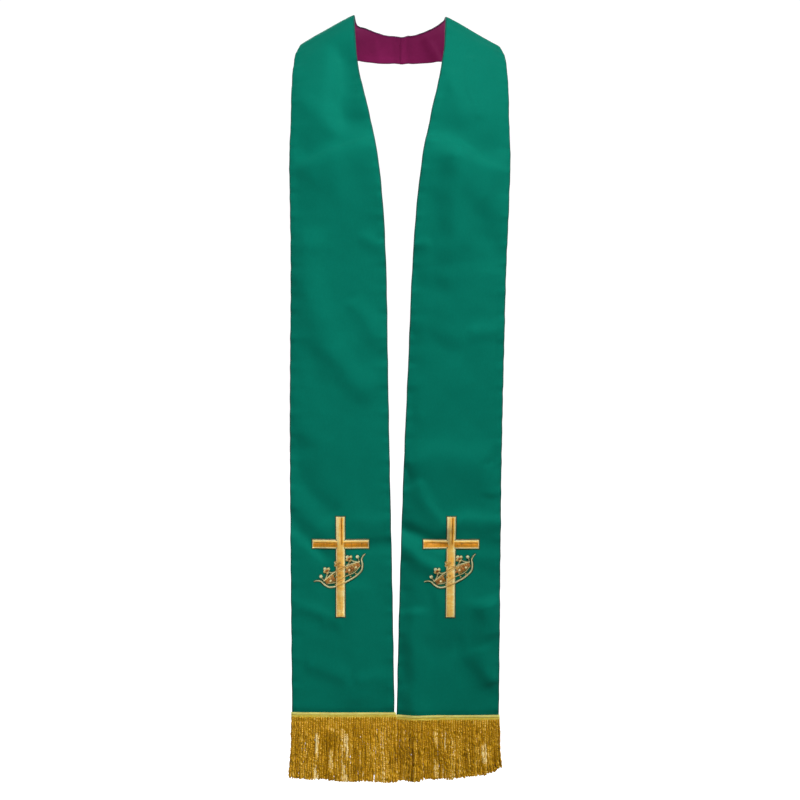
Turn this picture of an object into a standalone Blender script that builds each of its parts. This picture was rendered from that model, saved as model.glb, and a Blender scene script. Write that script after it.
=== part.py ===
"""A clergy stole as it hangs when worn: a long shaped band of cloth round the back of the neck, over both
shoulders and down the front, with a green face, a plum reverse, a gold embroidered cross and crown on each
end, and gold fringe.

The frame has +Z up, the wearer facing -Y and the wearer's left at +X. The origin is midway between the two neck
points, the places where the stole's inner edge crosses the top of the shoulders. All sizes are in metres.
"""

import math

import bmesh
import bpy
import numpy as np
from mathutils import Vector

MM = 0.001

# Driving sizes of the cloth
FACE_THICKNESS = 1.2 * MM
REVERSE_THICKNESS = 1.0 * MM
SEAM_GAP = 0.3 * MM
HEM_LEVEL = -1067 * MM
HEM_LEVEL_DIFFERENCE = 2 * MM

# How far the two ends hang towards the wearer's right, and the levels between which they come to lean
LEAN_AT_HEM = -6.8 * MM
LEAN_STARTS = -170 * MM
LEAN_ENDS = -760 * MM

# The wearer's left end hangs with its inner edge drawn a little outwards round the waist
WAIST_DRAW = 3.6 * MM
WAIST_DRAW_LEVEL = -610 * MM
WAIST_DRAW_REACH = 300 * MM

# On the wearer's right the neck edge drops sharply just behind the shoulder
NECK_DROP = 9 * MM
NECK_DROP_BEHIND = 20 * MM
NECK_DROP_REACH = 17 * MM

# Driving sizes of the fringe
HEADER_HEIGHT = 14 * MM
HEADER_THICKNESS = 2.4 * MM
FRINGE_LENGTH = 102 * MM
STRAND_WIDTH = 2.7 * MM
STRAND_DEPTH = 1.8 * MM
STRAND_ROW_OFFSET = 1.2 * MM
STRANDS_PER_COLUMN = 6
STRAND_STEPS = (0.2, 0.6, 1.0)
ROOT_GAP_SHARE = 0.1
FRINGE_FLARE_OUT = 4 * MM
FRINGE_FLARE_IN = 0.3 * MM

# From strand to strand the tips wander sideways and differ in length, as waves with these steps in radians
STRAND_WANDER = 0.25 * MM
WANDER_STEP = 2.4
STRAND_UNEVENNESS = 1.6 * MM
LENGTH_WAVES = ((1.7, 0.75), (5.3, 0.25))

# Driving sizes of the embroidery
CROSS_TOP_LEVEL = -774 * MM
CROSS_HEIGHT = 150 * MM
CROSS_SPAN = 86 * MM
CROSS_BAR = 13 * MM
CROSS_ARM_CENTRE = 41 * MM
CROSS_EDGE_THICKNESS = 0.6 * MM
CROSS_RIDGE_THICKNESS = 1.5 * MM
SHAFT_FACETS = 8
CROWN_CENTRE_DOWN = 88 * MM
CROWN_SHIFT = 5 * MM
CROWN_TILT = math.radians(27)
CROWN_HALF_WIDTH = 36 * MM
CROWN_SAG = 6 * MM
CROWN_BAND = 10 * MM
CROWN_FACETS = 8
CROWN_THICKNESS = 0.9 * MM

SHARP_ANGLE = math.radians(40)

# Number of facets of each cloth wall
COLUMNS = 7
BAND_ROWS = 11
CHEST_ROWS = 15
PANEL_ROWS = 30

# Behind the neck both edges of the band follow ellipses, seen from above, in millimetres. The neck edge dips
# towards the centre back, and the outer edge follows the levels in the table, by the angle round from the shoulder.
NECK_ELLIPSE = (70.5, 75)
OUTER_ELLIPSE = (154, 106)
NECK_DIP = 17.6
BACK_COLUMNS = ("angle", "outer_z", "bow")
BACK_SECTIONS = (
    (90, -56, 1),
    (70, -54.4, 1.5),
    (50, -50.2, 2.5),
    (30, -46, 3),
    (15, -43, 3),
)

# Sections from the shoulder down to the hem, in millimetres, on the wearer's left. Each row gives the neck edge,
# the outer edge, and how far the cloth bows out between them.
FRONT_COLUMNS = ("name", "neck_x", "neck_y", "neck_z", "outer_x", "outer_y", "outer_z", "bow")
FRONT_SECTIONS = (
    ("shoulder_top", 70.5, 0, 0, 154, 0, -42, 2.5),
    ("shoulder_front", 69.8, -21, -18, 161, -16, -57, 3),
    ("collar_bone", 66.5, -50, -63, 164.5, -35, -82, 4),
    ("upper_chest", 57.5, -78, -114, 166.2, -57, -122.7, 6),
    ("chest", 45, -98.5, -168, 166.2, -75, -171, 8),
    ("mid_chest", 34, -113, -226, 167.6, -89, -226, 8),
    ("low_chest", 24.8, -121.5, -300, 165.4, -102, -300, 6),
    ("ribs", 18.7, -123, -390, 162.6, -109, -390, 4),
    ("waist", 13.4, -123, -540, 160.8, -114, -540, 3),
    ("hip", 8.5, -122, -700, 159.1, -117, -700, 2),
    ("thigh", 4.7, -121, -870, 157.2, -118, -870, 2),
    ("hem", 1.3, -120, HEM_LEVEL / MM, 155.3, -118, HEM_LEVEL / MM, 2),
)

# The largest soft folds and pressed creases of the two front panels, in millimetres, as seen from the front.
# A fold runs from start to end, and stands out by rise or sinks where rise is negative.
FOLD_COLUMNS = ("name", "side", "start_x", "start_z", "end_x", "end_z", "half_width", "rise")
FOLDS = (
    ("right_shoulder_ridge", "right", -102, -70, -100, -190, 14, 2.5),
    ("right_shoulder_valley", "right", -78, -85, -80, -185, 13, -2.5),
    ("right_pressed_crease", "right", -165, -234, -40, -208, 11, 2.0),
    ("right_long_ridge_upper", "right", -132, -350, -110, -495, 19, 3.0),
    ("right_long_ridge_lower", "right", -104, -512, -30, -582, 17, 3.0),
    ("right_long_valley", "right", -153, -450, -100, -602, 16, -2.8),
    ("right_low_valley", "right", -147, -660, -108, -745, 15, -2.2),
    ("left_pressed_crease", "left", 48, -195, 160, -266, 11, 2.2),
    ("left_chest_valley", "left", 78, -235, 70, -372, 15, -3.0),
    ("left_chest_ridge", "left", 98, -265, 94, -380, 15, 2.2),
    ("left_waist_ridge", "left", 100, -430, 84, -495, 18, 2.2),
    ("left_waist_valley", "left", 48, -485, 44, -575, 17, -2.4),
    ("left_hip_ridge", "left", 46, -656, 108, -650, 14, 2.2),
    ("left_hip_valley", "left", 100, -700, 130, -752, 16, -2.2),
    ("left_low_valley", "left", 116, -925, 112, -995, 15, -2.4),
)

# The upper outline of the crown from the end of its band to its middle point. Each row gives the place along it,
# as a share of the half width, and the height above the band's top edge, in millimetres.
CROWN_POINTS = (
    (1.12, 6),
    (0.84, 0.5),
    (0.66, 14),
    (0.6, 14),
    (0.33, 0.5),
    (0, 15),
)

COLOURS = {
    "green_satin": (0.004, 0.165, 0.115, 1),
    "plum_satin": (0.165, 0.011, 0.062, 1),
    "gold_fringe": (0.42, 0.22, 0.03, 1),
    "gold_thread": (0.62, 0.33, 0.06, 1),
}
SIDES = {"left": 1, "right": -1}


def clear_scene():
    for old in list(bpy.data.objects):
        bpy.data.objects.remove(old, do_unlink=True)


def material(name, roughness):
    made = bpy.data.materials.new(name)
    made.use_nodes = True
    shader = made.node_tree.nodes["Principled BSDF"]
    shader.inputs["Base Color"].default_value = COLOURS[name]
    shader.inputs["Roughness"].default_value = roughness
    shader.inputs["Metallic"].default_value = 0.0
    return made


def smoothstep(share):
    share = min(max(share, 0.0), 1.0)
    return share * share * (3 - 2 * share)


def bump(value, middle, reach):
    """A smooth bump that is 1 at the middle."""
    return math.exp(-(((value - middle) / reach) ** 2))


def back_section(angle, outer_z, bow):
    """A section of the band behind the neck, with the same measures as a row of the front sections."""
    across, behind = math.cos(math.radians(angle)), math.sin(math.radians(angle))
    neck = (NECK_ELLIPSE[0] * across, NECK_ELLIPSE[1] * behind, -NECK_DIP * behind**2)
    outer = (OUTER_ELLIPSE[0] * across, OUTER_ELLIPSE[1] * behind, outer_z)
    return (f"back_{angle}", *neck, *outer, bow)


SECTIONS = [back_section(**dict(zip(BACK_COLUMNS, row))) for row in BACK_SECTIONS] + list(FRONT_SECTIONS)
SECTION_NAMES = [row[0] for row in SECTIONS]
MEASURES = {
    name: np.array([row[column] for row in SECTIONS]) * MM
    for column, name in enumerate(FRONT_COLUMNS)
    if name != "name"
}


def distances_along():
    """How far each section's middle lies from the centre back, measured on the cloth."""
    middles = np.column_stack([(MEASURES[f"neck_{a}"] + MEASURES[f"outer_{a}"]) / 2 for a in "xyz"])
    return np.concatenate([[0], np.cumsum(np.linalg.norm(np.diff(middles, axis=0), axis=1))])


ALONG = distances_along()
SHOULDER_DISTANCE = ALONG[SECTION_NAMES.index("shoulder_top")]
CHEST_DISTANCE = ALONG[SECTION_NAMES.index("low_chest")]
HEM_DISTANCE = ALONG[-1]


class SectionCurve:
    """A smooth curve through one measure of every section, by distance along the cloth from the centre back."""

    def __init__(self, name):
        # The other half mirrors this one, so a section before the first keeps the curve square to the centre seam.
        values = MEASURES[name]
        before = -values[1] if name.endswith("_x") else values[1]
        self.along = np.concatenate([[-ALONG[1]], ALONG])
        self.values = np.concatenate([[before], values])
        self.slopes = np.gradient(self.values, self.along)

    def at(self, distance):
        i = int(np.clip(np.searchsorted(self.along, distance) - 1, 0, len(self.along) - 2))
        span = self.along[i + 1] - self.along[i]
        t = (distance - self.along[i]) / span
        return (
            self.values[i] * (1 + 2 * t) * (1 - t) ** 2
            + self.slopes[i] * span * t * (1 - t) ** 2
            + self.values[i + 1] * t * t * (3 - 2 * t)
            + self.slopes[i + 1] * span * t * t * (t - 1)
        )


CURVES = {name: SectionCurve(name) for name in MEASURES}


def section_at(distance):
    """The neck edge, the outer edge and the bow of the section at this distance, on the wearer's left."""
    neck = np.array([CURVES[f"neck_{a}"].at(distance) for a in "xyz"])
    outer = np.array([CURVES[f"outer_{a}"].at(distance) for a in "xyz"])
    return neck, outer, CURVES["bow"].at(distance)


def bowed_point(distance, across):
    """A point of the smooth, unfolded cloth on the wearer's left. across runs from 0 at the neck edge to 1."""
    neck, outer, bow = section_at(distance)
    neck_further, outer_further, _ = section_at(distance + MM)
    forward = neck_further + outer_further - neck - outer
    out = np.cross(forward, outer - neck)
    out /= np.linalg.norm(out)
    return neck + (outer - neck) * across + out * bow * 4 * across * (1 - across)


def hang(side, point, across):
    """Moves a point from the mirrored pattern to its place on one side."""
    x, y, z = point
    x = x * SIDES[side] + LEAN_AT_HEM * smoothstep((LEAN_STARTS - z) / (LEAN_STARTS - LEAN_ENDS))
    z -= SIDES[side] * HEM_LEVEL_DIFFERENCE * max(z / HEM_LEVEL, 0)
    if side == "left":
        x += WAIST_DRAW * bump(z, WAIST_DRAW_LEVEL, WAIST_DRAW_REACH) * (1 - across)
    else:
        z -= NECK_DROP * bump(y, NECK_DROP_BEHIND, NECK_DROP_REACH) * (1 - across) ** 2
    return np.array([x, y, z])


def cloth_point(side, distance, across):
    """A point on the middle of the cloth's thickness, before folds."""
    return hang(side, bowed_point(distance, across), across)


def cloth_normal(side, distance, across):
    """The unit normal of the cloth, away from the wearer."""
    step, step_across = 2 * MM, 0.02
    low, high = max(across - step_across, 0), min(across + step_across, 1)
    forward = cloth_point(side, distance + step, across) - cloth_point(side, distance - step, across)
    outward = cloth_point(side, distance, high) - cloth_point(side, distance, low)
    normal = np.cross(forward, outward) * SIDES[side]
    return normal / np.linalg.norm(normal)


def fold_rise(side, point):
    """How far the folds lift the cloth at a point of the front."""
    if point[1] > 0:
        return 0.0
    here = np.array([point[0], point[2]])
    total = 0.0
    for row in FOLDS:
        fold = dict(zip(FOLD_COLUMNS, row))
        if fold["side"] != side:
            continue
        start = np.array([fold["start_x"], fold["start_z"]]) * MM
        reach = np.array([fold["end_x"], fold["end_z"]]) * MM - start
        share = np.dot(here - start, reach) / np.dot(reach, reach)
        away = np.linalg.norm(here - start - reach * min(max(share, 0), 1))
        total += fold["rise"] * MM * bump(away, 0, fold["half_width"] * MM)
    return total


def row_distances():
    """Where the facets' rows lie along the cloth: close together over the shoulder, and further apart below."""
    return np.concatenate([
        np.linspace(SEAM_GAP / 2, SHOULDER_DISTANCE, BAND_ROWS, endpoint=False),
        np.linspace(SHOULDER_DISTANCE, CHEST_DISTANCE, CHEST_ROWS, endpoint=False),
        np.linspace(CHEST_DISTANCE, HEM_DISTANCE, PANEL_ROWS + 1),
    ])


ROW_DISTANCES = row_distances()
ROWS = len(ROW_DISTANCES) - 1


def cloth_grid(side):
    """The middle of the cloth and its normals at every row and column of the facets."""
    middle, normal = np.zeros((ROWS + 1, COLUMNS + 1, 3)), np.zeros((ROWS + 1, COLUMNS + 1, 3))
    for i, distance in enumerate(ROW_DISTANCES):
        for j in range(COLUMNS + 1):
            across = j / COLUMNS
            point = cloth_point(side, distance, across)
            normal[i, j] = cloth_normal(side, distance, across)
            middle[i, j] = point + normal[i, j] * fold_rise(side, point)
    return middle, normal


GRIDS = {side: cloth_grid(side) for side in SIDES}


def layer(side, height):
    """The grid's points moved out of the middle of the cloth by height."""
    middle, normal = GRIDS[side]
    return middle + normal * height


def add_solid(name, points, faces, finish, parent):
    """One closed object, with its origin at the middle of its points."""
    points = np.array(points)
    origin = points.mean(axis=0).round(3)
    mesh = bpy.data.meshes.new(name)
    mesh.from_pydata([tuple(p) for p in points - origin], [], faces)
    shape = bmesh.new()
    shape.from_mesh(mesh)
    bmesh.ops.recalc_face_normals(shape, faces=shape.faces)
    shape.to_mesh(mesh)
    shape.free()
    mesh.shade_smooth()
    mesh.set_sharp_from_angle(angle=SHARP_ANGLE)
    mesh.materials.append(finish)
    made = bpy.data.objects.new(name, mesh)
    bpy.context.scene.collection.objects.link(made)
    made.parent = parent
    made.location = Vector(origin)


def rim():
    """The grid positions round the edge of the cloth, in order."""
    return (
        [(0, j) for j in range(COLUMNS)]
        + [(i, COLUMNS) for i in range(ROWS)]
        + [(ROWS, j) for j in range(COLUMNS, 0, -1)]
        + [(i, 0) for i in range(ROWS, 0, -1)]
    )


def cloth_wall(name, side, inner_height, outer_height, finish, parent):
    """One layer of cloth as a closed wall between two heights over the middle of the cloth."""
    outer, inner = layer(side, outer_height), layer(side, inner_height)

    def number(i, j, which):
        return (which * (ROWS + 1) + i) * (COLUMNS + 1) + j

    faces = []
    for which in (0, 1):
        for i in range(ROWS):
            for j in range(COLUMNS):
                here, next_row = number(i, j, which), number(i + 1, j, which)
                next_column, opposite = number(i, j + 1, which), number(i + 1, j + 1, which)
                faces += [(here, next_row, next_column), (opposite, next_column, next_row)]
    edge = rim()
    for (i, j), (m, n) in zip(edge, edge[1:] + edge[:1]):
        faces.append((number(i, j, 0), number(m, n, 0), number(m, n, 1), number(i, j, 1)))
    points = np.concatenate([outer.reshape(-1, 3), inner.reshape(-1, 3)])
    add_solid(name, points, faces, finish, parent)


# Along the fringe's heading each pitch is four cells: a gap, a front strand, a gap and a strand of the back row
CELLS_PER_PITCH = 4
FRONT_CELL, BACK_CELL = 1, 3
CELLS_PER_COLUMN = CELLS_PER_PITCH * STRANDS_PER_COLUMN + 1


def heading_line(side):
    """Points along the hem at the cells' boundaries, and how far across the cloth each lies, from 0 to 1."""
    hem = GRIDS[side][0][-1]
    pitch = 1 / STRANDS_PER_COLUMN
    gap = pitch * ROOT_GAP_SHARE
    width = pitch / 2 - gap
    marks = (gap / 2, gap / 2 + width, gap * 1.5 + width, gap * 1.5 + 2 * width)
    shares = [0.0]
    for column in range(COLUMNS):
        shares += [column + strand * pitch + mark for strand in range(STRANDS_PER_COLUMN) for mark in marks]
        shares.append(column + 1.0)
    points = []
    for share in shares:
        column = min(int(share), COLUMNS - 1)
        points.append(hem[column] + (hem[column + 1] - hem[column]) * (share - column))
    return np.array(points), np.array(shares) / COLUMNS


def strand_tip(number, across):
    """How far a strand's tip lies outwards of its root, and its length below the heading."""
    flare = FRINGE_FLARE_OUT * across**2 - FRINGE_FLARE_IN * (1 - across) ** 3
    wander = STRAND_WANDER * math.sin(WANDER_STEP * number)
    uneven = sum(share * math.sin(step * number) for step, share in LENGTH_WAVES)
    return flare + wander, FRINGE_LENGTH - HEADER_HEIGHT - STRAND_UNEVENNESS * (1 + uneven)


def grow_strand(points, faces, root, centre, sway, length, row, direction):
    """Adds a four-sided strand under a root face. row is -1 in front and 1 behind, and direction is the way along
    X in which the root's points run."""
    half_width, half_depth = direction * STRAND_WIDTH / 2, STRAND_DEPTH / 2
    ring = root
    for step in STRAND_STEPS:
        middle = centre + (sway * step**1.5, row * STRAND_ROW_OFFSET, -length * step)
        first = len(points)
        for x, y in ((-1, -1), (1, -1), (1, 1), (-1, 1)):
            points.append(middle + (x * half_width, y * half_depth, 0))
        following = tuple(range(first, first + 4))
        for k in range(4):
            faces.append((ring[k], ring[(k + 1) % 4], following[(k + 1) % 4], following[k]))
        ring = following
    faces.append(ring)


def fringe(name, side, finish, parent):
    """A heading strip just under the hem, and two staggered rows of strands that grow out of its underside."""
    line, across = heading_line(side)
    count = len(line)
    top, bottom = -SEAM_GAP, -SEAM_GAP - HEADER_HEIGHT
    half_depth = HEADER_THICKNESS / 2
    corners = [column * CELLS_PER_COLUMN for column in range(COLUMNS + 1)]
    points = [p + (0, depth, bottom) for depth in (-half_depth, 0, half_depth) for p in line]
    points += [line[c] + (0, depth, top) for depth in (-half_depth, half_depth) for c in corners]
    front, middle, back = (range(row * count, (row + 1) * count) for row in range(3))
    front_top = range(3 * count, 3 * count + COLUMNS + 1)
    back_top = range(3 * count + COLUMNS + 1, 3 * count + 2 * COLUMNS + 2)
    faces = []
    for k in range(COLUMNS):
        faces.append((front_top[k], front_top[k + 1], back_top[k + 1], back_top[k]))
        for lower, upper in ((front, front_top), (back, back_top)):
            run = [lower[m] for m in range(corners[k + 1], corners[k] - 1, -1)]
            faces.append([upper[k], upper[k + 1]] + run)
    for k, end in ((0, 0), (COLUMNS, count - 1)):
        faces.append((front_top[k], back_top[k], back[end], middle[end], front[end]))
    strands = 0
    for k in range(count - 1):
        cell = k % CELLS_PER_COLUMN % CELLS_PER_PITCH
        rows = ((FRONT_CELL, front, middle, -1), (BACK_CELL, middle, back, 1))
        for strand_cell, near, far, row in rows:
            root = (near[k], near[k + 1], far[k + 1], far[k])
            if cell != strand_cell:
                faces.append(root)
                continue
            strands += 1
            centre = (line[k] + line[k + 1]) / 2 + (0, 0, bottom)
            sway, length = strand_tip(strands, (across[k] + across[k + 1]) / 2)
            grow_strand(points, faces, root, centre, sway * SIDES[side], length, row, SIDES[side])
    add_solid(name, points, faces, finish, parent)


def on_face(side, distance, across, height):
    """A point that lies height above the face's own facets."""
    surface = layer(side, SEAM_GAP / 2 + FACE_THICKNESS + height)
    i = int(np.searchsorted(ROW_DISTANCES, distance) - 1)
    j = int(across * COLUMNS)
    along = (distance - ROW_DISTANCES[i]) / (ROW_DISTANCES[i + 1] - ROW_DISTANCES[i])
    over = across * COLUMNS - j
    here, next_row = surface[i, j], surface[i + 1, j]
    next_column, opposite = surface[i, j + 1], surface[i + 1, j + 1]
    if along + over <= 1:
        return here + (next_row - here) * along + (next_column - here) * over
    return opposite + (next_column - opposite) * (1 - along) + (next_row - opposite) * (1 - over)


def emblem_point(side, sideways, down, height):
    """A point over the face. sideways is towards +X from the cross's middle, and down is from its top."""
    top = CROSS_TOP_LEVEL + SIDES[side] * HEM_LEVEL_DIFFERENCE * CROSS_TOP_LEVEL / HEM_LEVEL
    distance = HEM_DISTANCE - (top - HEM_LEVEL) + down
    neck, outer, _ = section_at(distance)
    across = 0.5 + sideways * SIDES[side] / np.linalg.norm(outer - neck)
    return on_face(side, distance, across, SEAM_GAP + height)


def embroidered_cross(name, side, finish, parent):
    """A plain Latin cross of padded satin stitch: each bar rises from its two edges to a ridge along its middle."""
    half_bar, half_span = CROSS_BAR / 2, CROSS_SPAN / 2
    arm_steps = np.linspace(half_bar, half_span, 4)
    sideways = [*-arm_steps[::-1], 0, *arm_steps]
    arm_top, arm_bottom = CROSS_ARM_CENTRE - half_bar, CROSS_ARM_CENTRE + half_bar
    downs = [0, arm_top / 2, arm_top, CROSS_ARM_CENTRE, *np.linspace(arm_bottom, CROSS_HEIGHT, SHAFT_FACETS + 1)]
    arm_rows = (downs.index(arm_top), downs.index(CROSS_ARM_CENTRE))
    shaft_columns = (sideways.index(0) - 1, sideways.index(0))
    cells = {
        (i, j)
        for i in range(len(downs) - 1)
        for j in range(len(sideways) - 1)
        if i in arm_rows or j in shaft_columns
    }
    number, points, faces = {}, [], []
    for i, j in sorted({(i + m, j + n) for i, j in cells for m in (0, 1) for n in (0, 1)}):
        on_ridge = sideways[j] == 0 or downs[i] == CROSS_ARM_CENTRE
        thickness = CROSS_RIDGE_THICKNESS if on_ridge else CROSS_EDGE_THICKNESS
        number[i, j] = len(points)
        points += [emblem_point(side, sideways[j], downs[i], height) for height in (0, thickness)]
    for i, j in sorted(cells):
        ring = [number[c] for c in ((i, j), (i + 1, j), (i + 1, j + 1), (i, j + 1))]
        faces += [ring, [n + 1 for n in ring]]
        neighbours = ((i, j - 1), (i + 1, j), (i, j + 1), (i - 1, j))
        for a, b, neighbour in zip(ring, ring[1:] + ring[:1], neighbours):
            if neighbour not in cells:
                faces.append((a, b, b + 1, a + 1))
    add_solid(name, points, faces, finish, parent)


def crown_outline():
    """The whole crown's outline, as sideways and down from the top of the cross: a sagging band with five points.
    It rises towards the wearer's left."""

    def band(along):
        return -CROWN_SAG * (1 - (along / CROWN_HALF_WIDTH) ** 2)

    points = [(share * CROWN_HALF_WIDTH, above * MM) for share, above in CROWN_POINTS]
    points += [(-along, above) for along, above in points[-2::-1]]
    outline = [(a, band(a)) for a in np.linspace(-CROWN_HALF_WIDTH, CROWN_HALF_WIDTH, CROWN_FACETS + 1)]
    outline += [(a, band(a) + CROWN_BAND + above) for a, above in points]
    cos, sin = math.cos(CROWN_TILT), math.sin(CROWN_TILT)
    return [(CROWN_SHIFT + a * cos - up * sin, CROWN_CENTRE_DOWN - a * sin - up * cos) for a, up in outline]


def beside_shaft(outline, direction):
    """What is left of an outline on one side of the cross's shaft."""
    edge = CROSS_BAR / 2 + 2 * SEAM_GAP
    kept = []
    for here, following in zip(outline, outline[1:] + outline[:1]):
        clear = [direction * place[0] - edge for place in (here, following)]
        if clear[0] > 0:
            kept.append(here)
        if clear[0] * clear[1] < 0:
            share = clear[0] / (clear[0] - clear[1])
            kept.append((direction * edge, here[1] + (following[1] - here[1]) * share))
    return kept


def embroidered_crown(name, side, direction, finish, parent):
    """A thin raised plate with the outline of the crown on one side of the shaft."""
    outline = beside_shaft(crown_outline(), direction)
    points = [emblem_point(side, *place, height) for height in (0, CROWN_THICKNESS) for place in outline]
    count = len(outline)
    faces = [list(range(count)), list(range(count, 2 * count))]
    for k in range(count):
        following = (k + 1) % count
        faces.append((k, following, following + count, k + count))
    add_solid(name, points, faces, finish, parent)


def build():
    clear_scene()
    stole = bpy.data.objects.new("stole", None)
    bpy.context.scene.collection.objects.link(stole)
    green = material("green_satin", 0.5)
    plum = material("plum_satin", 0.5)
    gold_fringe = material("gold_fringe", 0.45)
    gold_thread = material("gold_thread", 0.35)
    half_gap = SEAM_GAP / 2
    for side, outwards in SIDES.items():
        cloth_wall(f"face_{side}", side, half_gap, half_gap + FACE_THICKNESS, green, stole)
        cloth_wall(f"reverse_{side}", side, -half_gap - REVERSE_THICKNESS, -half_gap, plum, stole)
        fringe(f"fringe_{side}", side, gold_fringe, stole)
        embroidered_cross(f"cross_{side}", side, gold_thread, stole)
        embroidered_crown(f"crown_{side}_inner", side, -outwards, gold_thread, stole)
        embroidered_crown(f"crown_{side}_outer", side, outwards, gold_thread, stole)


build()
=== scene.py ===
"""The looks of a clergy stole, worn: green satin in front, plum satin behind, a gold satin-stitch cross and
crown on each end, and a twisted gold fringe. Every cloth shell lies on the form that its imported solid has.

The frame is the solids' own: metres, +Z up, the wearer facing -Y and the wearer's left at +X.
"""

import math

import bpy
import numpy as np
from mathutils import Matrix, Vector


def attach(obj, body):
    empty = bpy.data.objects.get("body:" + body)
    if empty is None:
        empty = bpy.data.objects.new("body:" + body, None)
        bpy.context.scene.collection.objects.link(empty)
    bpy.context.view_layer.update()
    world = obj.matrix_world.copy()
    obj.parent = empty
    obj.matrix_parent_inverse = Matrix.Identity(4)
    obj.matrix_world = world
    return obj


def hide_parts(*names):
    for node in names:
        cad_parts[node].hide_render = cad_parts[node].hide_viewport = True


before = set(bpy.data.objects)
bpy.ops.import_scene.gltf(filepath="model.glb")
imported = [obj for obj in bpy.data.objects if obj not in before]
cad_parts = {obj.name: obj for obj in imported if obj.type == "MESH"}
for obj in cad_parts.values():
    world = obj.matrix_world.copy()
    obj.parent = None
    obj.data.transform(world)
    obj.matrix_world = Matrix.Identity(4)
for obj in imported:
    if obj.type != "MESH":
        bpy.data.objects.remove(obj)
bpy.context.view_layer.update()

MM = 0.001
SIDES = {"left": 1, "right": -1}

# The camera stands level, half way down, and so far off that the edges of the neck band fit the photograph
CAMERA_PLACE = (0, -3.120, -0.5975)
CAMERA_LENS = 90
FLOOR_LEVEL = -1460 * MM

# The cloth's sizes
LAYER_GAP = 0.02 * MM
FACE_HEIGHT = 1.35 * MM
REVERSE_HEIGHT = 1.15 * MM
HEM_LEVEL = -1067 * MM
HEM_LEVEL_DIFFERENCE = 2 * MM
EDGE_RADIUS = 1.3 * MM
HEM_RADIUS = 2.6 * MM
SEAM_RADIUS = 2.4 * MM
REVERSE_INSET = 0.4 * MM
SEAM_ALLOWANCE = 9 * MM
SEAM_ALLOWANCE_RISE = 0.28 * MM
SEAM_ALLOWANCE_FADES = (2 * MM, 3 * MM)

# How far the two ends hang towards the wearer's right, and the levels between which they come to lean
LEAN_AT_HEM = -6.8 * MM
LEAN_STARTS = -170 * MM
LEAN_ENDS = -760 * MM

# The wearer's left end hangs with its inner edge drawn a little outwards round the waist
WAIST_DRAW = 3.6 * MM
WAIST_DRAW_LEVEL = -610 * MM
WAIST_DRAW_REACH = 300 * MM

# On the wearer's right the neck edge drops sharply just behind the shoulder
NECK_DROP = 8.2 * MM
NECK_DROP_BEHIND = 27 * MM
NECK_DROP_REACH = 19 * MM
NECK_PEAK = 2.8 * MM
NECK_PEAK_REACH = 15 * MM

# The tops of the shoulders sink a little beyond the neck
SHOULDER_SAG = {"left": 4.7 * MM, "right": 3.0 * MM}
SHOULDER_SAG_REACH = 45 * MM
SHOULDER_SAG_ACROSS = 0.65

# Behind the neck both edges of the band follow ellipses, seen from above, in millimetres
NECK_ELLIPSE = (70.5, 75)
OUTER_ELLIPSE = (154, 106)
NECK_DIP = 17.6
BACK_COLUMNS = ("angle", "outer_z", "bow")
BACK_SECTIONS = (
    (90, -56, 1),
    (70, -54.4, 1.5),
    (50, -50.2, 2.5),
    (30, -46, 3),
    (15, -43, 3),
)

# Sections from the shoulder down to the hem, in millimetres, on the wearer's left
FRONT_COLUMNS = ("name", "neck_x", "neck_y", "neck_z", "outer_x", "outer_y", "outer_z", "bow")
FRONT_SECTIONS = (
    ("shoulder_top", 70.5, 0, 0, 154, 0, -42, 2.5),
    ("shoulder_front", 69.8, -21, -18, 161, -16, -57, 3),
    ("collar_bone", 66.5, -50, -63, 164.5, -35, -82, 4),
    ("upper_chest", 57.5, -78, -114, 166.2, -57, -122.7, 6),
    ("chest", 45, -98.5, -168, 166.2, -75, -171, 8),
    ("mid_chest", 34, -113, -226, 167.6, -89, -226, 8),
    ("low_chest", 24.8, -121.5, -300, 165.4, -102, -300, 6),
    ("ribs", 18.7, -123, -390, 162.6, -109, -390, 4),
    ("waist", 13.4, -123, -540, 160.8, -114, -540, 3),
    ("hip", 8.5, -122, -700, 159.1, -117, -700, 2),
    ("thigh", 4.7, -121, -870, 157.2, -118, -870, 2),
    ("hem", 1.3, -120, HEM_LEVEL / MM, 155.3, -118, HEM_LEVEL / MM, 2),
)

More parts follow.
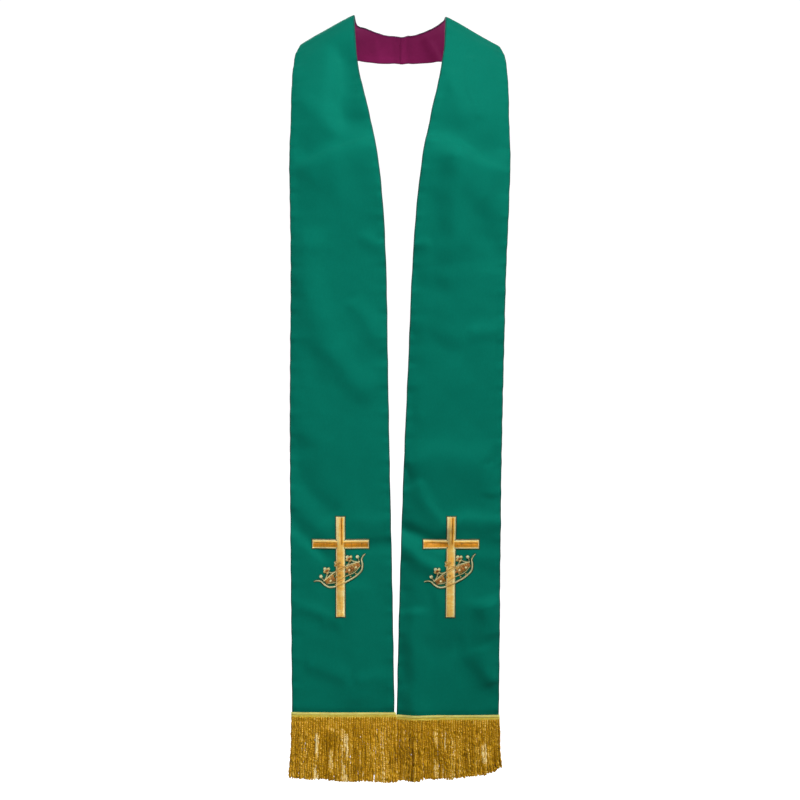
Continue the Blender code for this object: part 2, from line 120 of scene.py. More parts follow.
# Creases of the front, each along a line of x and z in millimetres as seen from the front. The cloth stands
# out by rise on the line, or sinks where rise is negative, and falls back over one width on the line's left
# hand and another on its right. A crease fades in and out over the lengths given, or else runs off an edge.
CREASE_COLUMNS = ("left_width", "right_width", "rise", "fade_in", "fade_out", "line")
CREASES = {
    "right": (
        (30, 18, -10.4, 44, 36, ((-90, -31), (-88, -88), (-86, -140), (-84, -200))),
        (20, 15, -2.6, 50, 50, ((-80, -60), (-79, -110), (-78, -160))),
        (17, 16, 2.2, 20, 12, ((-168, -124), (-132, -160), (-96, -194))),
        (30, 15, -6.2, 40, 0,
         ((-172, -236), (-150, -227), (-117, -215), (-86, -198), (-42, -192), (0, -198))),
        (14, 54, 5.6, 40, 0,
         ((-172, -258), (-150, -249), (-117, -237), (-86, -221), (-42, -215), (0, -221))),
        (14, 18, 3.4, 8, 70, ((-39, -212), (-36, -268), (-29, -340))),
        (9, 11, 1.3, 10, 0, ((-60, -345), (-39, -362), (-6, -384))),
        (26, 22, 5.6, 40, 30, ((-146, -335), (-141, -418), (-126, -487), (-93, -541), (-36, -601))),
        (20, 15, 2.6, 16, 10, ((-74, -445), (-54, -479), (-18, -523))),
        (22, 26, -4.8, 24, 16, ((-162, -650), (-153, -707), (-132, -749), (-96, -781))),
        (13, 12, -5.4, 0, 30, ((-186, -754), (-150, -793), (-129, -812), (-96, -844))),
        (12, 18, 1.8, 10, 0, ((-83, -779), (-42, -781), (15, -784))),
        (10, 12, -3.0, 12, 0, ((-72, -817), (-42, -818), (18, -820))),
        (11, 10, 2.6, 0, 14, ((-192, -895), (-150, -904), (-117, -916), (-81, -934))),
        (14, 11, 2.3, 10, 10, ((-143, -998), (-104, -1004), (-72, -1016))),
        (10, 10, 1.8, 10, 10, ((-123, -931), (-83, -940))),
        (12, 11, 2.1, 10, 0, ((-68, -1013), (0, -1024))),
        (34, 26, 2.2, 20, 20, ((-75, -868), (-69, -958), (-66, -1063))),
        (14, 14, -3.0, 60, 60, ((-171, -330), (-172, -420), (-170, -560), (-168, -700))),
    ),
    "left": (
        (15, 13, 3.4, 20, 70, ((81, -84), (84, -140), (90, -196))),
        (8, 7, 2.0, 10, 10, ((104, -65), (108, -118), (119, -178))),
        (30, 15, -6.2, 0, 40, ((-12, -176), (45, -187), (71, -192), (93, -205), (117, -219), (170, -241))),
        (14, 52, 6.2, 0, 40, ((-12, -199), (45, -210), (71, -215), (93, -228), (117, -242), (170, -264))),
        (20, 24, 2.2, 20, 0, ((111, -286), (143, -304), (195, -313))),
        (26, 26, 11.0, 26, 90, ((85, -212), (87, -253), (86, -298), (83, -373), (78, -450))),
        (20, 20, -2.8, 40, 30, ((106, -286), (120, -328), (134, -362), (146, -410))),
        (28, 20, 3.8, 30, 30, ((74, -391), (75, -448), (69, -523))),
        (8, 9, 2.0, 0, 12, ((-3, -364), (24, -362), (51, -358))),
        (12, 12, 2.2, 14, 0, ((99, -494), (143, -497), (195, -499))),
        (22, 28, 4.8, 14, 14, ((3, -694), (45, -689), (78, -683), (138, -692))),
        (14, 11, 2.2, 8, 8, ((137, -691), (134, -748))),
        (9, 13, 3.8, 10, 10, ((18, -721), (42, -754), (78, -796))),
        (13, 19, 5.8, 20, 0, ((63, -784), (105, -781), (195, -787))),
        (12, 10, -6.2, 56, 12, ((-30, -784), (23, -797), (78, -824))),
        (10, 13, 6.0, 0, 14, ((-30, -799), (8, -818), (30, -835), (69, -863))),
        (12, 12, 2.8, 12, 0, ((93, -832), (195, -838))),
        (20, 16, 3.2, 14, 20, ((136, -893), (135, -930), (132, -966))),
        (18, 20, 7.5, 20, 30, ((132, -889), (132, -935), (122, -970), (129, -997), (150, -1036))),
        (14, 16, 3.2, 10, 10, ((117, -967), (126, -991), (143, -1024))),
        (20, 14, 5.2, 14, 0, ((20, -907), (21, -988), (27, -1108))),
        (14, 14, -4.5, 50, 0,
         ((24, -345), (20, -390), (15, -465), (13, -540), (10, -665), (3, -777), (-3, -1100))),
        (22, 26, 2.8, 14, 10, ((45, -907), (93, -907), (156, -901))),
        (18, 22, -2.8, 14, 14, ((33, -970), (68, -970), (99, -961))),
    ),
}
CREASE_TURN = 4

# Each crease wanders off its line: how far, over what length in millimetres, and where it starts in turns
WANDER_COLUMNS = ("size", "length", "start")
CREASE_WANDER = (
    (2.6, 97, 0.05),
    (0.9, 43, 0.3),
)
WANDER_SLANTS = ((0.37, 1), (0.81, -0.46))

# Straight folds of the band behind the neck, by x and z in millimetres
FOLD_COLUMNS = ("start_x", "start_z", "end_x", "end_z", "half_width", "rise")
BACK_FOLDS = {
    "right": (
        (-10, -18, -10, -54, 5, 1.5),
        (-40, -24, -33, -52, 8, -1.6),
        (-74, -20, -92, -50, 9, 1.8),
        (-118, -34, -126, -48, 7, 0.8),
    ),
    "left": (
        (4, -18, 4, -54, 4, -1.2),
        (12, -18, 13, -54, 4, 2.0),
        (41, -22, 60, -50, 7, 3.6),
        (56, -24, 70, -50, 8, -2.4),
        (98, -34, 112, -50, 8, -0.9),
    ),
}

# Soft unevenness all over the cloth: the size of its hollows and their height, both in millimetres
UNEVEN_COLUMNS = ("size", "height", "seed")
UNEVENNESS = (
    (52, 1.3, 3),
    (24, 0.55, 5),
    (12, 0.16, 8),
)
UNEVEN_GRID = (97, 89)
UNEVEN_START = 40
UNEVEN_FROM_SEAM = 45 * MM

# Slight puckers along the sewn edges, fewer on the band behind the neck
PUCKER_REACH = 9 * MM
PUCKER_HEIGHT = 1.3 * MM
PUCKER_LENGTHS = (23 * MM, 37 * MM)
PUCKERS_ON_BAND = 0.3
PUCKERS_START = 130 * MM
PUCKERS_GROW = 90 * MM

# How the sewn edges are drawn in and let out
EDGE_WANDER = 0.18 * MM
EDGE_WANDER_REACH = 15 * MM
EDGE_WANDER_LENGTHS = (71 * MM, 43 * MM)
EDGE_WANDER_STARTS = (0.3, 0.37)
EDGE_WANDER_OVERTONE = (0.6, 1.83)
EDGE_WANDER_FROM_SEAM = 60 * MM

# Folds move the cloth this share sideways of what they move it forwards, and the hem's stitching sinks
FOLDS_ASIDE = 0.2
HEM_STITCH_DEPTH = 1.3 * MM
HEM_STITCH_REACH = 3.6 * MM
NORMAL_STEP = 2 * MM
NORMAL_STEP_ACROSS = 0.02

# The heading: a woven strip that hangs from the hem, wound with threads, with rows of braid on both faces.
# Depths are in millimetres from its middle: the least, and how much chance or a stitch's bow adds.
HEADING_DROP = 1.2 * MM
HEADING_HEIGHT = 13 * MM
HEADING_ENDS = (-0.013, 1.007)
HEADING_HALF_DEPTH = 0.95 * MM
HEADING_CORE = 0.96
HEADING_CORNERS = 12
HEADING_STATIONS = 56
HEADING_TONE = 0.35
HEADING_TONE_SPREAD = 0.22
WOUND_THREADS = 150
WOUND_THREAD_SIZE = (0.5 * MM, 0.32 * MM)
WOUND_INSET = 0.003
WOUND_DEPTHS = (1.0, 0.25)
WOUND_LEVELS = np.linspace(0.08, 0.94, 5)
WOUND_TONES = {0: 0.75, 3: 0.6, 6: 0.42, 13: 0.12}
BRAID_COLUMNS = ("level", "height", "tone")
BRAIDS = (
    (1.7, 3.2, 0.88),
    (6.6, 3.4, 0.55),
)
BRAID_PITCH = 1.9 * MM
BRAID_LEAN = 0.9
BRAID_THREAD_SIZE = (0.62 * MM, 0.5 * MM)
BRAID_SIDES = 5
BRAID_STEPS = 4
BRAID_INSET = 0.001
BRAID_DEPTHS = (1.35, 0.35)

# The fringe's cords, in rows one behind another. Depths, sways and lengths are in millimetres, and start is
# where a row's first cord stands, in shares of the cords' spacing.
CORD_ROW_COLUMNS = ("name", "depth", "start", "corners")
CORD_ROWS = (
    ("front", -1.5, 0.5, 8),
    ("middle", 0.1, 0.1, 6),
    ("back", 1.6, 0.7, 6),
)
SWAY_COLUMNS = ("axis", "size", "shortest", "longest")
CORD_SWAYS = (
    (0, 1.0, 50, 95),
    (0, 0.42, 8, 15),
    (1, 0.8, 45, 90),
    (1, 0.3, 9, 17),
)
SWAY_RANGE = (0.5, 1)
CORDS_IN_ROW = 44
CORD_UNEVEN = 0.15
CORD_ROOT = 8 * MM
CORD_WIDTH = 4.4 * MM
CORD_WIDTH_RANGE = (0.85, 1.05)
CORD_WAIST = 0.5
CORD_LOBE_POWER = 1.3
CORD_TURN = 8.6 * MM
CORD_TURN_RANGE = (0.8, 1.25)
CORD_TURN_DRIFT = 0.35
CORD_DRIFT_LENGTHS = (16 * MM, 34 * MM)
CORD_RINGS = 108
CORD_TIP = 1.5 * MM
CORD_TIP_TAPER = 0.5
CORD_SHORTER = 2.4 * MM
CORD_BUNDLES = 0.7 * MM
CORD_LOOSE_BELOW = 25 * MM
FRINGE_FLARE_OUT = 4 * MM
FRINGE_FLARE_IN = 1.2 * MM

# A cord's tone: how it varies from cord to cord, from clump to clump and in patches, whose lengths are in
# millimetres, the share of cords with pale streaks, how these changes grow below the heading, the painted
# glints as the cord twists, and painted shade in its grooves with painted light on its lobes
CORD_TONES = {"left": 0.46, "right": 0.49}
CORD_TONE_SPREAD = 0.085
CLUMP_TONE_SPREAD = 0.08
PATCH_TONE = 0.05
PATCH_LENGTHS = (48, 60)
PALE_STREAK = 0.42
PALE_SHARE = 0.1
TONES_AT_HEADING = 0.25
TONES_GROW_FROM = 8 * MM
TONES_GROW_OVER = 26 * MM
CORD_GLINT = 0.22
CORD_GROOVE_SHADE = 0.75
CORD_GROOVE_SHADE_LEVEL = 0.78

# Where the fringe is parted at its tips, by x, in millimetres
PARTING_COLUMNS = ("x", "width")
FRINGE_PARTINGS = {
    "right": ((-99, 1.5), (-63, 1.2), (-40, 2.8)),
    "left": ((17, 1.4), (35, 2.8), (94, 0.6)),
}
PARTING_REACH = 9 * MM
PARTING_STARTS = 0.25

# The longest cords' lengths below the hem in millimetres, by share across from the neck side
FRINGE_LENGTHS = {
    "right": {0: 106, 0.2: 106.3, 0.25: 104.5, 0.4: 105.5, 0.58: 105, 0.65: 103, 0.86: 101.8, 1: 100.6},
    "left": {0: 101.2, 0.22: 100.6, 0.27: 97.4, 0.6: 96.8, 0.68: 94.5, 0.84: 92, 0.92: 88, 1: 80.5},
}

# The cross, whose parts are placed sideways from its middle and down from its top
CROSS_TOP_LEVEL = -772.6 * MM
CROSS_HEIGHT = 150 * MM
CROSS_SPAN = 84.5 * MM
CROSS_FOOT_SHIFT = {"left": 1.2 * MM, "right": -2 * MM}
CROSS_BAR = 13 * MM
CROSS_ARM_CENTRE = 41 * MM
CROSS_PADDING = 1.5 * MM
CROSS_BORDER = 1.7 * MM
THREAD_PITCH = 0.56 * MM
BORDER_PADDING = 0.8 * MM
BORDER_OVERHANG = 0.1 * MM
BORDER_TONES = (0.98, 0.98, 0.8)
FILL_INSET = 0.8
# A dark outline round the cross and beside the crown's lines: painted shadow of the raised stitches on the
# cloth
SHADOW_OUTLINE_WIDTH = 1.6 * MM
SHADOW_OUTLINE_HEIGHT = 0.2 * MM
SHADOW_OUTLINE_OVERLAP = 0.3 * MM
SHADOW_OUTLINE_TONES = (-0.4, -0.4)
TONES_ABOVE_SHADOW_OUTLINES = 0.2
HEAD_SPLIT = 0.8 * MM
HEAD_PAST_CENTRE = 1.5 * MM
# Painted light and shade on the head's two columns: lit on the left, a shaded groove just right of the
# middle, a highlight on the right edge
HEAD_LIGHT_AND_SHADE = ((0.95, 0.85, 0.6, 0.4), (0.0, 0.1, 0.5, 0.9))
ARM_SPLIT = -1.6 * MM
ARM_ROOT = 1.9 * MM
ARM_PADDING = CROSS_PADDING * 0.85
# Painted light and shade on each arm's two columns: the upper one lit, the lower one shaded
ARM_LIGHT_AND_SHADE = ((0.95, 0.55, 0.25), (0.0, 0.03, 0.12, 0.5))
END_GAP = 0.8 * MM
FOOT_TONES = (0.46, 0.62, 0.57, 0.48, 0.62, 0.95)
FOOT_TONE_SPREAD = 0.26
FOOT_PAD_TONE = 0.55
FOOT_BREAKS = (-2.6, 1.2, -0.6, 2.8)
FOOT_BREAK_SPREAD = 0.5 * MM
FOOT_DIP = 0.16 * MM
FOOT_PATCH = 9
FOOT_PATCH_SPREAD = 0.1
FOOT_THREAD_SIZE = (0.31 * MM, 0.26 * MM)

# Stitches sink into their padding and stand up from it by chance, in millimetres. The pads under them are
# low closed shells that reach a little under the cloth's face.
STITCH_SUNK = 0.12
STITCH_LOOSE = 0.06
STITCH_FLATNESS = 0.8
DOME_POWER = 0.8
PAD_STEPS = 9
PAD_CLEARANCE = 0.12 * MM
PAD_SUNK = 0.15 * MM
PAD_DEPTH = 0.1 * MM

# The crown, drawn as along and up from its own middle, in millimetres, then tilted and placed. Each line is
# drawn again mirrored, and joined to its mirror image where it starts at the middle.
CROWN_CENTRE_DOWN = 88 * MM
CROWN_SHIFT = 5 * MM
CROWN_TILT = math.radians(28.5)
PALE, WARM, RED = 0.9, 0.45, 0.02
CROWN_BAND = (10, -2.2, 29)
CROWN_BAND_TONES = (0.28, 0.06, 0.18)
CROWN_BAND_SAG = 2.8 * MM
CROWN_BAND_SPREAD = 0.5
CROWN_BAND_HEIGHT = 0.3 * MM
# The crown's painted shadow outline, as a share of the cross's
CROWN_SHADOW_OUTLINE = 0.75
CROWN_THREAD_SIZE = 0.28 * MM
OVER_SHAFT_TONES = (0.32, 0.18)
OVER_SHAFT_HEIGHT = 0.2 * MM
OVER_SHAFT_GAP = 0.08 * MM
SHAFT_CLEARANCE = 0.2 * MM
SHAFT_ROUNDING = 0.4 * MM
CURVE_STEPS = 200
KNOT_SPAN = 0.88
KNOT_PITCH = 0.42 * MM
KNOT_THREAD_SIZE = 0.27 * MM
CROWN_LINE_COLUMNS = ("width", "tones", "end_width", "line")
CROWN_LINES = (
    (2.4, (0.8, 0.95, 0.7), 0.3, ((0, -10), (17, -9), (27.5, -5.2), (32.5, 2), (35, 9), (39.5, 12.2),
                                  (44, 13.2))),
    (1.2, (0.65, 0.75), 1, ((0, -2.4), (18, -3), (27, 0.5))),
    (1.8, (0.95, 0.85, 0.6), 1, ((0, 11), (16, 10), (30.5, 7))),
    (0.9, (0.35, 0.45), 1, ((0, 8.5), (15, 7.6), (27.5, 4.8))),
    (1.4, (0.9, 0.7), 1, ((1.4, 17), (3.4, 13.6), (8, 11.3))),
    (1.4, (0.9, 0.7), 1, ((11, 11), (15.6, 12.8), (18, 16.5))),
    (1.4, (0.9, 0.7), 1, ((27, 8.6), (22.6, 11.8), (20.2, 16.5))),
    (1.2, (0.9, 0.7), 1, ((31.2, 13.6), (30.8, 10.4), (30, 7.6))),
)
KNOT_COLUMNS = ("along", "up", "radius", "tone", "pointed")
CROWN_KNOTS = (
    (5.5, 3.2, 2.1, RED, True),
    (11, 3.2, 1.7, PALE, False),
    (16.5, 2.6, 2.1, RED, True),
    (21.6, 2.2, 1.7, PALE, False),
    (26.6, 2.6, 1.7, RED, True),
    (8, -6.2, 1.1, WARM, False),
    (17, -6.1, 1.1, WARM, False),
    (31.2, 14.8, 2.5, PALE, False),
)
CROWN_CLUSTERS = ((0, 19), (19, 18.4))
CLUSTER_COLUMNS = ("aside", "raised", "radius", "tone")
CLUSTER = (
    (-1.2, 3.4, 2.5, PALE),
    (-3.4, 0.0, 2.2, WARM),
    (3.3, 0.8, 2.3, PALE - 0.25),
    (0, 0.0, 2.8, RED),
    (-0.6, -3.4, 1.9, WARM),
)


def rows(table, columns):
    """A table's rows, each with its values by column."""
    return [dict(zip(columns, row)) for row in table]


def smoothstep(share):
    share = np.clip(share, 0, 1)
    return share * share * (3 - 2 * share)


def bump(value, middle, reach):
    """A smooth bump that is 1 at the middle."""
    return np.exp(-(((value - middle) / reach) ** 2))


def wave(turns):
    return np.sin(2 * math.pi * turns)


def unit(vectors):
    return vectors / np.linalg.norm(vectors, axis=-1, keepdims=True)


def run_along(line):
    """How far along a line each of its points lies."""
    return np.concatenate([[0], np.cumsum(np.linalg.norm(np.diff(line, axis=0), axis=1))])


class SmoothCurve:
    """A smooth curve through rows of values, each at its own place."""

    def __init__(self, places, values):
        self.places = places
        self.values = values
        self.slopes = np.gradient(values, places, axis=0)

    def at(self, place):
        i = np.clip(np.searchsorted(self.places, place) - 1, 0, len(self.places) - 2)
        span = (self.places[i + 1] - self.places[i])[..., None]
        t = (place - self.places[i])[..., None] / span
        return (
            self.values[i] * (1 + 2 * t) * (1 - t) ** 2
            + self.slopes[i] * span * t * (1 - t) ** 2
            + self.values[i + 1] * t * t * (3 - 2 * t)
            + self.slopes[i + 1] * span * t * t * (t - 1)
        )


# The form of the cloth


def back_section(angle, outer_z, bow):
    """A section of the band behind the neck, with the measures of a front section but its name."""
    across, behind = math.cos(math.radians(angle)), math.sin(math.radians(angle))
    neck = (NECK_ELLIPSE[0] * across, NECK_ELLIPSE[1] * behind, -NECK_DIP * behind**2)
    return (*neck, OUTER_ELLIPSE[0] * across, OUTER_ELLIPSE[1] * behind, outer_z, bow)


BEHIND = [back_section(**row) for row in rows(BACK_SECTIONS, BACK_COLUMNS)]
SECTIONS = np.array(BEHIND + [row[1:] for row in FRONT_SECTIONS]) * MM
ALONG = run_along((SECTIONS[:, :3] + SECTIONS[:, 3:6]) / 2)
HEM_DISTANCE = ALONG[-1]
# The other half mirrors this one, so a mirrored section before the first keeps the curve square to the seam
MIRRORED = SECTIONS[1] * [-1 if name.endswith("_x") else 1 for name in FRONT_COLUMNS[1:]]
SECTION_CURVE = SmoothCurve(np.concatenate([[-ALONG[1]], ALONG]), np.vstack([MIRRORED, SECTIONS]))


def sections_at(distance):
    """The neck edge, the outer edge and the bow of the section at each distance, on the wearer's left."""
    measures = SECTION_CURVE.at(distance)
    return measures[..., :3], measures[..., 3:6], measures[..., 6]


def width_at(distance):
    neck, outer, _ = sections_at(distance)
    return np.linalg.norm(outer - neck, axis=-1)


def bowed_points(distance, across):
    """Points of the smooth cloth on the wearer's left. across is 0 at the neck edge and 1 at the outer."""
    neck, outer, bow = sections_at(distance)
    neck_further, outer_further, _ = sections_at(distance + MM)
    out = unit(np.cross(neck_further + outer_further - neck - outer, outer - neck))
    share = across[..., None]
    return neck + (outer - neck) * share + out * bow[..., None] * 4 * share * (1 - share)


def smooth_points(side, distance, across):
    """Points of the smooth cloth, moved from the mirrored pattern to their place on one side."""
    x, y, z = np.moveaxis(bowed_points(distance, across), -1, 0)
    x = x * SIDES[side] + LEAN_AT_HEM * smoothstep((LEAN_STARTS - z) / (LEAN_STARTS - LEAN_ENDS))
    z = z - SIDES[side] * HEM_LEVEL_DIFFERENCE * np.maximum(z / HEM_LEVEL, 0)
    z = z - SHOULDER_SAG[side] * bump(y, 0, SHOULDER_SAG_REACH) * smoothstep(across / SHOULDER_SAG_ACROSS)
    if side == "left":
        x = x + WAIST_DRAW * bump(z, WAIST_DRAW_LEVEL, WAIST_DRAW_REACH) * (1 - across)
    else:
        z = z - NECK_DROP * bump(y, NECK_DROP_BEHIND, NECK_DROP_REACH) * (1 - across) ** 2
        z = z + NECK_PEAK * bump(y, 0, NECK_PEAK_REACH) * (1 - across) ** 3
    return np.stack([x, y, z], axis=-1)


def normals_at(side, distance, across):
    """The unit normals of the smooth cloth, away from the wearer."""
    low, high = np.maximum(across - NORMAL_STEP_ACROSS, 0), np.minimum(across + NORMAL_STEP_ACROSS, 1)
    before, after = (smooth_points(side, distance + step, across) for step in (-NORMAL_STEP, NORMAL_STEP))
    outward = smooth_points(side, distance, high) - smooth_points(side, distance, low)
    return unit(np.cross(after - before, outward) * SIDES[side])


def off_line(here, start, reach):
    """How far each point is along a straight line, as a share, and which way it lies off the line."""
    share = np.clip((here - start) @ reach / (reach @ reach), 0, 1)
    return share, here - start - reach * share[..., None]


def fold_rise(side, points):
    """How far the folds of the band lift the cloth at each point."""
    here = points[..., [0, 2]]
    total = np.zeros(points.shape[:-1])
    for fold in rows(BACK_FOLDS[side], FOLD_COLUMNS):
        start = np.array([fold["start_x"], fold["start_z"]]) * MM
        end = np.array([fold["end_x"], fold["end_z"]]) * MM
        away = np.linalg.norm(off_line(here, start, end - start)[1], axis=-1)
        total += fold["rise"] * MM * bump(away, 0, fold["half_width"] * MM)
    return total


def softened(line):
    """A line of more points, with its corners cut twice."""
    line = np.array(line, float)
    for _ in range(2):
        ends = line[:-1], line[1:]
        cut = np.stack([0.75 * ends[0] + 0.25 * ends[1], 0.25 * ends[0] + 0.75 * ends[1]], axis=1)
        line = np.concatenate([line[:1], cut.reshape(-1, 2), line[-1:]])
    return line


def nearest_on(line, here):
    """How far each point is from a line, along the line and on its left hand, and the line's length."""
    before = run_along(line)
    away = np.full(here.shape[:-1], np.inf)
    run, hand = np.zeros_like(away), np.zeros_like(away)
    for number, (start, reach) in enumerate(zip(line, np.diff(line, axis=0))):
        length = np.linalg.norm(reach)
        share, off = off_line(here, start, reach)
        apart = np.linalg.norm(off, axis=-1)
        nearer = apart < away
        away = np.where(nearer, apart, away)
        run = np.where(nearer, before[number] + share * length, run)
        hand = np.where(nearer, (reach[0] * off[..., 1] - reach[1] * off[..., 0]) / length, hand)
    return away, run, hand, before[-1]


def crease_rise(side, points):
    """How far the creases of the front lift the cloth at each point."""
    x, z = points[..., 0] / MM, points[..., 2] / MM
    here = np.stack([x, z], axis=-1)
    for wander in rows(CREASE_WANDER, WANDER_COLUMNS):
        for axis, (slant_x, slant_z) in enumerate(WANDER_SLANTS):
            turns = (slant_x * x + slant_z * z) / wander["length"] + (axis + 1) * wander["start"]
            here[..., axis] += wander["size"] * wave(turns)
    total = np.zeros(points.shape[:-1])
    for crease in rows(CREASES[side], CREASE_COLUMNS):
        away, run, hand, length = nearest_on(softened(crease["line"]), here)
        rise = np.full_like(run, crease["rise"])
        if crease["fade_in"]:
            rise *= smoothstep(run / crease["fade_in"])
        if crease["fade_out"]:
            rise *= smoothstep((length - run) / crease["fade_out"])
        left_share = 0.5 + 0.5 * np.tanh(hand / CREASE_TURN)
        width = crease["right_width"] + (crease["left_width"] - crease["right_width"]) * left_share
        total += rise * bump(away, 0, width)
    return total * MM


def uneven_rise(side, distance, aside):
    """Soft hollows over the whole cloth, by distance along it and distance aside from its neck edge."""
    total = np.zeros(np.shape(distance))
    for soft in rows(UNEVENNESS, UNEVEN_COLUMNS):
        heights = np.random.default_rng(soft["seed"]).uniform(-1, 1, UNEVEN_GRID)
        u, v = distance / MM / soft["size"], aside / MM / soft["size"] + UNEVEN_START
        i, j = np.floor(u).astype(int), np.floor(v).astype(int)
        s, t = smoothstep(u - i), smoothstep(v - j)
        near, far = (
            heights[(i + a) % UNEVEN_GRID[0], j % UNEVEN_GRID[1]] * (1 - t)
            + heights[(i + a) % UNEVEN_GRID[0], (j + 1) % UNEVEN_GRID[1]] * t
            for a in (0, 1)
        )
        total += soft["height"] * (near * (1 - s) + far * s)
    return total * MM * SIDES[side] * smoothstep(distance / UNEVEN_FROM_SEAM)


def pucker_rise(distance, from_edge):
    """The slight puckers of the sewn edges, uneven along them."""
    first, second = (wave(distance / length) for length in PUCKER_LENGTHS)
    fullness = PUCKERS_ON_BAND + (1 - PUCKERS_ON_BAND) * smoothstep((distance - PUCKERS_START) / PUCKERS_GROW)
    return PUCKER_HEIGHT * fullness * first * (0.5 + 0.5 * second) * np.exp(-from_edge / PUCKER_REACH)


def wandered(side, distance, across):
    """The share across, with both edges drawn in and let out a little as sewn edges are."""
    width = width_at(distance)
    shift = np.zeros(np.shape(distance))
    size, speed = EDGE_WANDER_OVERTONE
    for number, (from_edge, sign) in enumerate(((across * width, 1), ((1 - across) * width, -1))):
        turns = distance / EDGE_WANDER_LENGTHS[number] + np.dot(EDGE_WANDER_STARTS, (SIDES[side], number))
        wander = EDGE_WANDER * (wave(turns) + size * wave(speed * turns))
        shift = shift + sign * wander * np.exp(-np.abs(from_edge) / EDGE_WANDER_REACH)
    return across + shift * smoothstep(distance / EDGE_WANDER_FROM_SEAM) / width


def cloth_points(side, distance, across, height):
    """Points that lie height over the middle of the cloth's thickness, on its folds."""
    distance, across = np.broadcast_arrays(distance, across)
    across = wandered(side, distance, across)
    points = smooth_points(side, distance, across)
    width = width_at(distance)
    in_front = points[..., 1] <= 0
    rise = np.where(in_front, crease_rise(side, points), fold_rise(side, points))
    rise = rise + uneven_rise(side, distance, across * width)
    rise = rise + pucker_rise(distance, np.minimum(across, 1 - across) * width)
    rise = rise - HEM_STITCH_DEPTH * bump(distance, HEM_DISTANCE, HEM_STITCH_REACH)
    normals = normals_at(side, distance, across)
    forwards = normals * np.where(in_front, FOLDS_ASIDE, 1.0)[..., None] ** np.array([1, 0, 0])
    return points + normals * height[..., None] + forwards * rise[..., None]


# Meshes


def new_object(name, data):
    made = bpy.data.objects.new(name, data)
    bpy.context.scene.collection.objects.link(made)
    return made


def add_piece(name, points, faces, finish, **values):
    """A smooth mesh from points and arrays of faces. values are numbers or vectors for each point."""
    corners = np.concatenate([block.ravel() for block in faces]).astype(np.int32)
    sizes = np.concatenate([np.full(len(block), block.shape[1]) for block in faces])
    starts = np.concatenate([[0], np.cumsum(sizes)[:-1]]).astype(np.int32)
    mesh = bpy.data.meshes.new(name)
    mesh.vertices.add(len(points))
    mesh.vertices.foreach_set("co", points.astype(np.float32).ravel())
    mesh.loops.add(len(corners))
    mesh.loops.foreach_set("vertex_index", corners)
    mesh.polygons.add(len(starts))
    mesh.polygons.foreach_set("loop_start", starts)
    mesh.update(calc_edges=True)
    mesh.shade_smooth()
    for key, value in values.items():
        kind, field = ("FLOAT_VECTOR", "vector") if value.ndim == 2 else ("FLOAT", "value")
        layer = mesh.attributes.new(key, kind, "POINT")
        layer.data.foreach_set(field, value.astype(np.float32).ravel())
    mesh.materials.append(finish)
    made = new_object(name, mesh)
    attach(made, "root")
    return made


def closed_sheet(top, bottom, flip):
    """Points and faces of a closed sheet between two grids of points that share their rim."""
    upper = np.arange(top.shape[0] * top.shape[1]).reshape(top.shape[:2])
    lower = upper.copy()
    inside = lower[1:-1, 1:-1]
    inside[:] = upper.size + np.arange(inside.size).reshape(inside.shape)
    points = np.concatenate([top.reshape(-1, 3), bottom[1:-1, 1:-1].reshape(-1, 3)])
    faces = []
    for grid, turned in ((upper, flip), (lower, not flip)):
        ring = [grid[:-1, :-1], grid[1:, :-1], grid[1:, 1:], grid[:-1, 1:]]
        if turned:
            ring.reverse()
        faces.append(np.stack(ring, axis=-1).reshape(-1, 4))
    return points, faces


def tubes(paths, out, half_width, half_height, tones, sides=4):
    """Points, faces and tones of many closed tubes, one along each path. out is away from the cloth."""
    count, steps = paths.shape[:2]
    forward = unit(np.gradient(paths, axis=1))
    sideways = unit(np.cross(forward, out))
    upwards = np.cross(sideways, forward)
    angles = 2 * math.pi * (np.arange(sides) + 0.5) / sides
    wide, high = half_width * np.cos(angles)[:, None], half_height * np.sin(angles)[:, None]
    rings = paths[:, :, None] + sideways[:, :, None] * wide + upwards[:, :, None] * high
    tones = np.repeat(np.broadcast_to(tones, (count, steps)), sides)
    return rings.reshape(-1, 3), ring_faces(count, steps, sides), tones


def ring_faces(count, steps, sides):
    """Faces of count tubes, each of steps rings, whose rings turn clockwise as seen from behind."""
    number = np.arange(count * steps * sides).reshape(count, steps, sides)
    following = np.roll(number, -1, axis=2)
    walls = np.stack([number[:, :-1], number[:, 1:], following[:, 1:], following[:, :-1]], axis=-1)
    return [walls.reshape(-1, 4), number[:, 0], number[:, -1, ::-1]]


def add_joined(name, parts, finish, lowest=0.0):
    """One piece from several (points, faces, tones), with its tones raised to start at the lowest."""
    points, faces, tones, first = [], [], [], 0
    for part_points, part_faces, part_tones in parts:
        points.append(part_points)
        faces += [block + first for block in part_faces]
        tones.append(np.broadcast_to(part_tones, len(part_points)))
        first += len(part_points)
    tones = lowest + (1 - lowest) * np.concatenate(tones)
    return add_piece(name, np.concatenate(points), faces, finish, tone=tones)


# Finishes


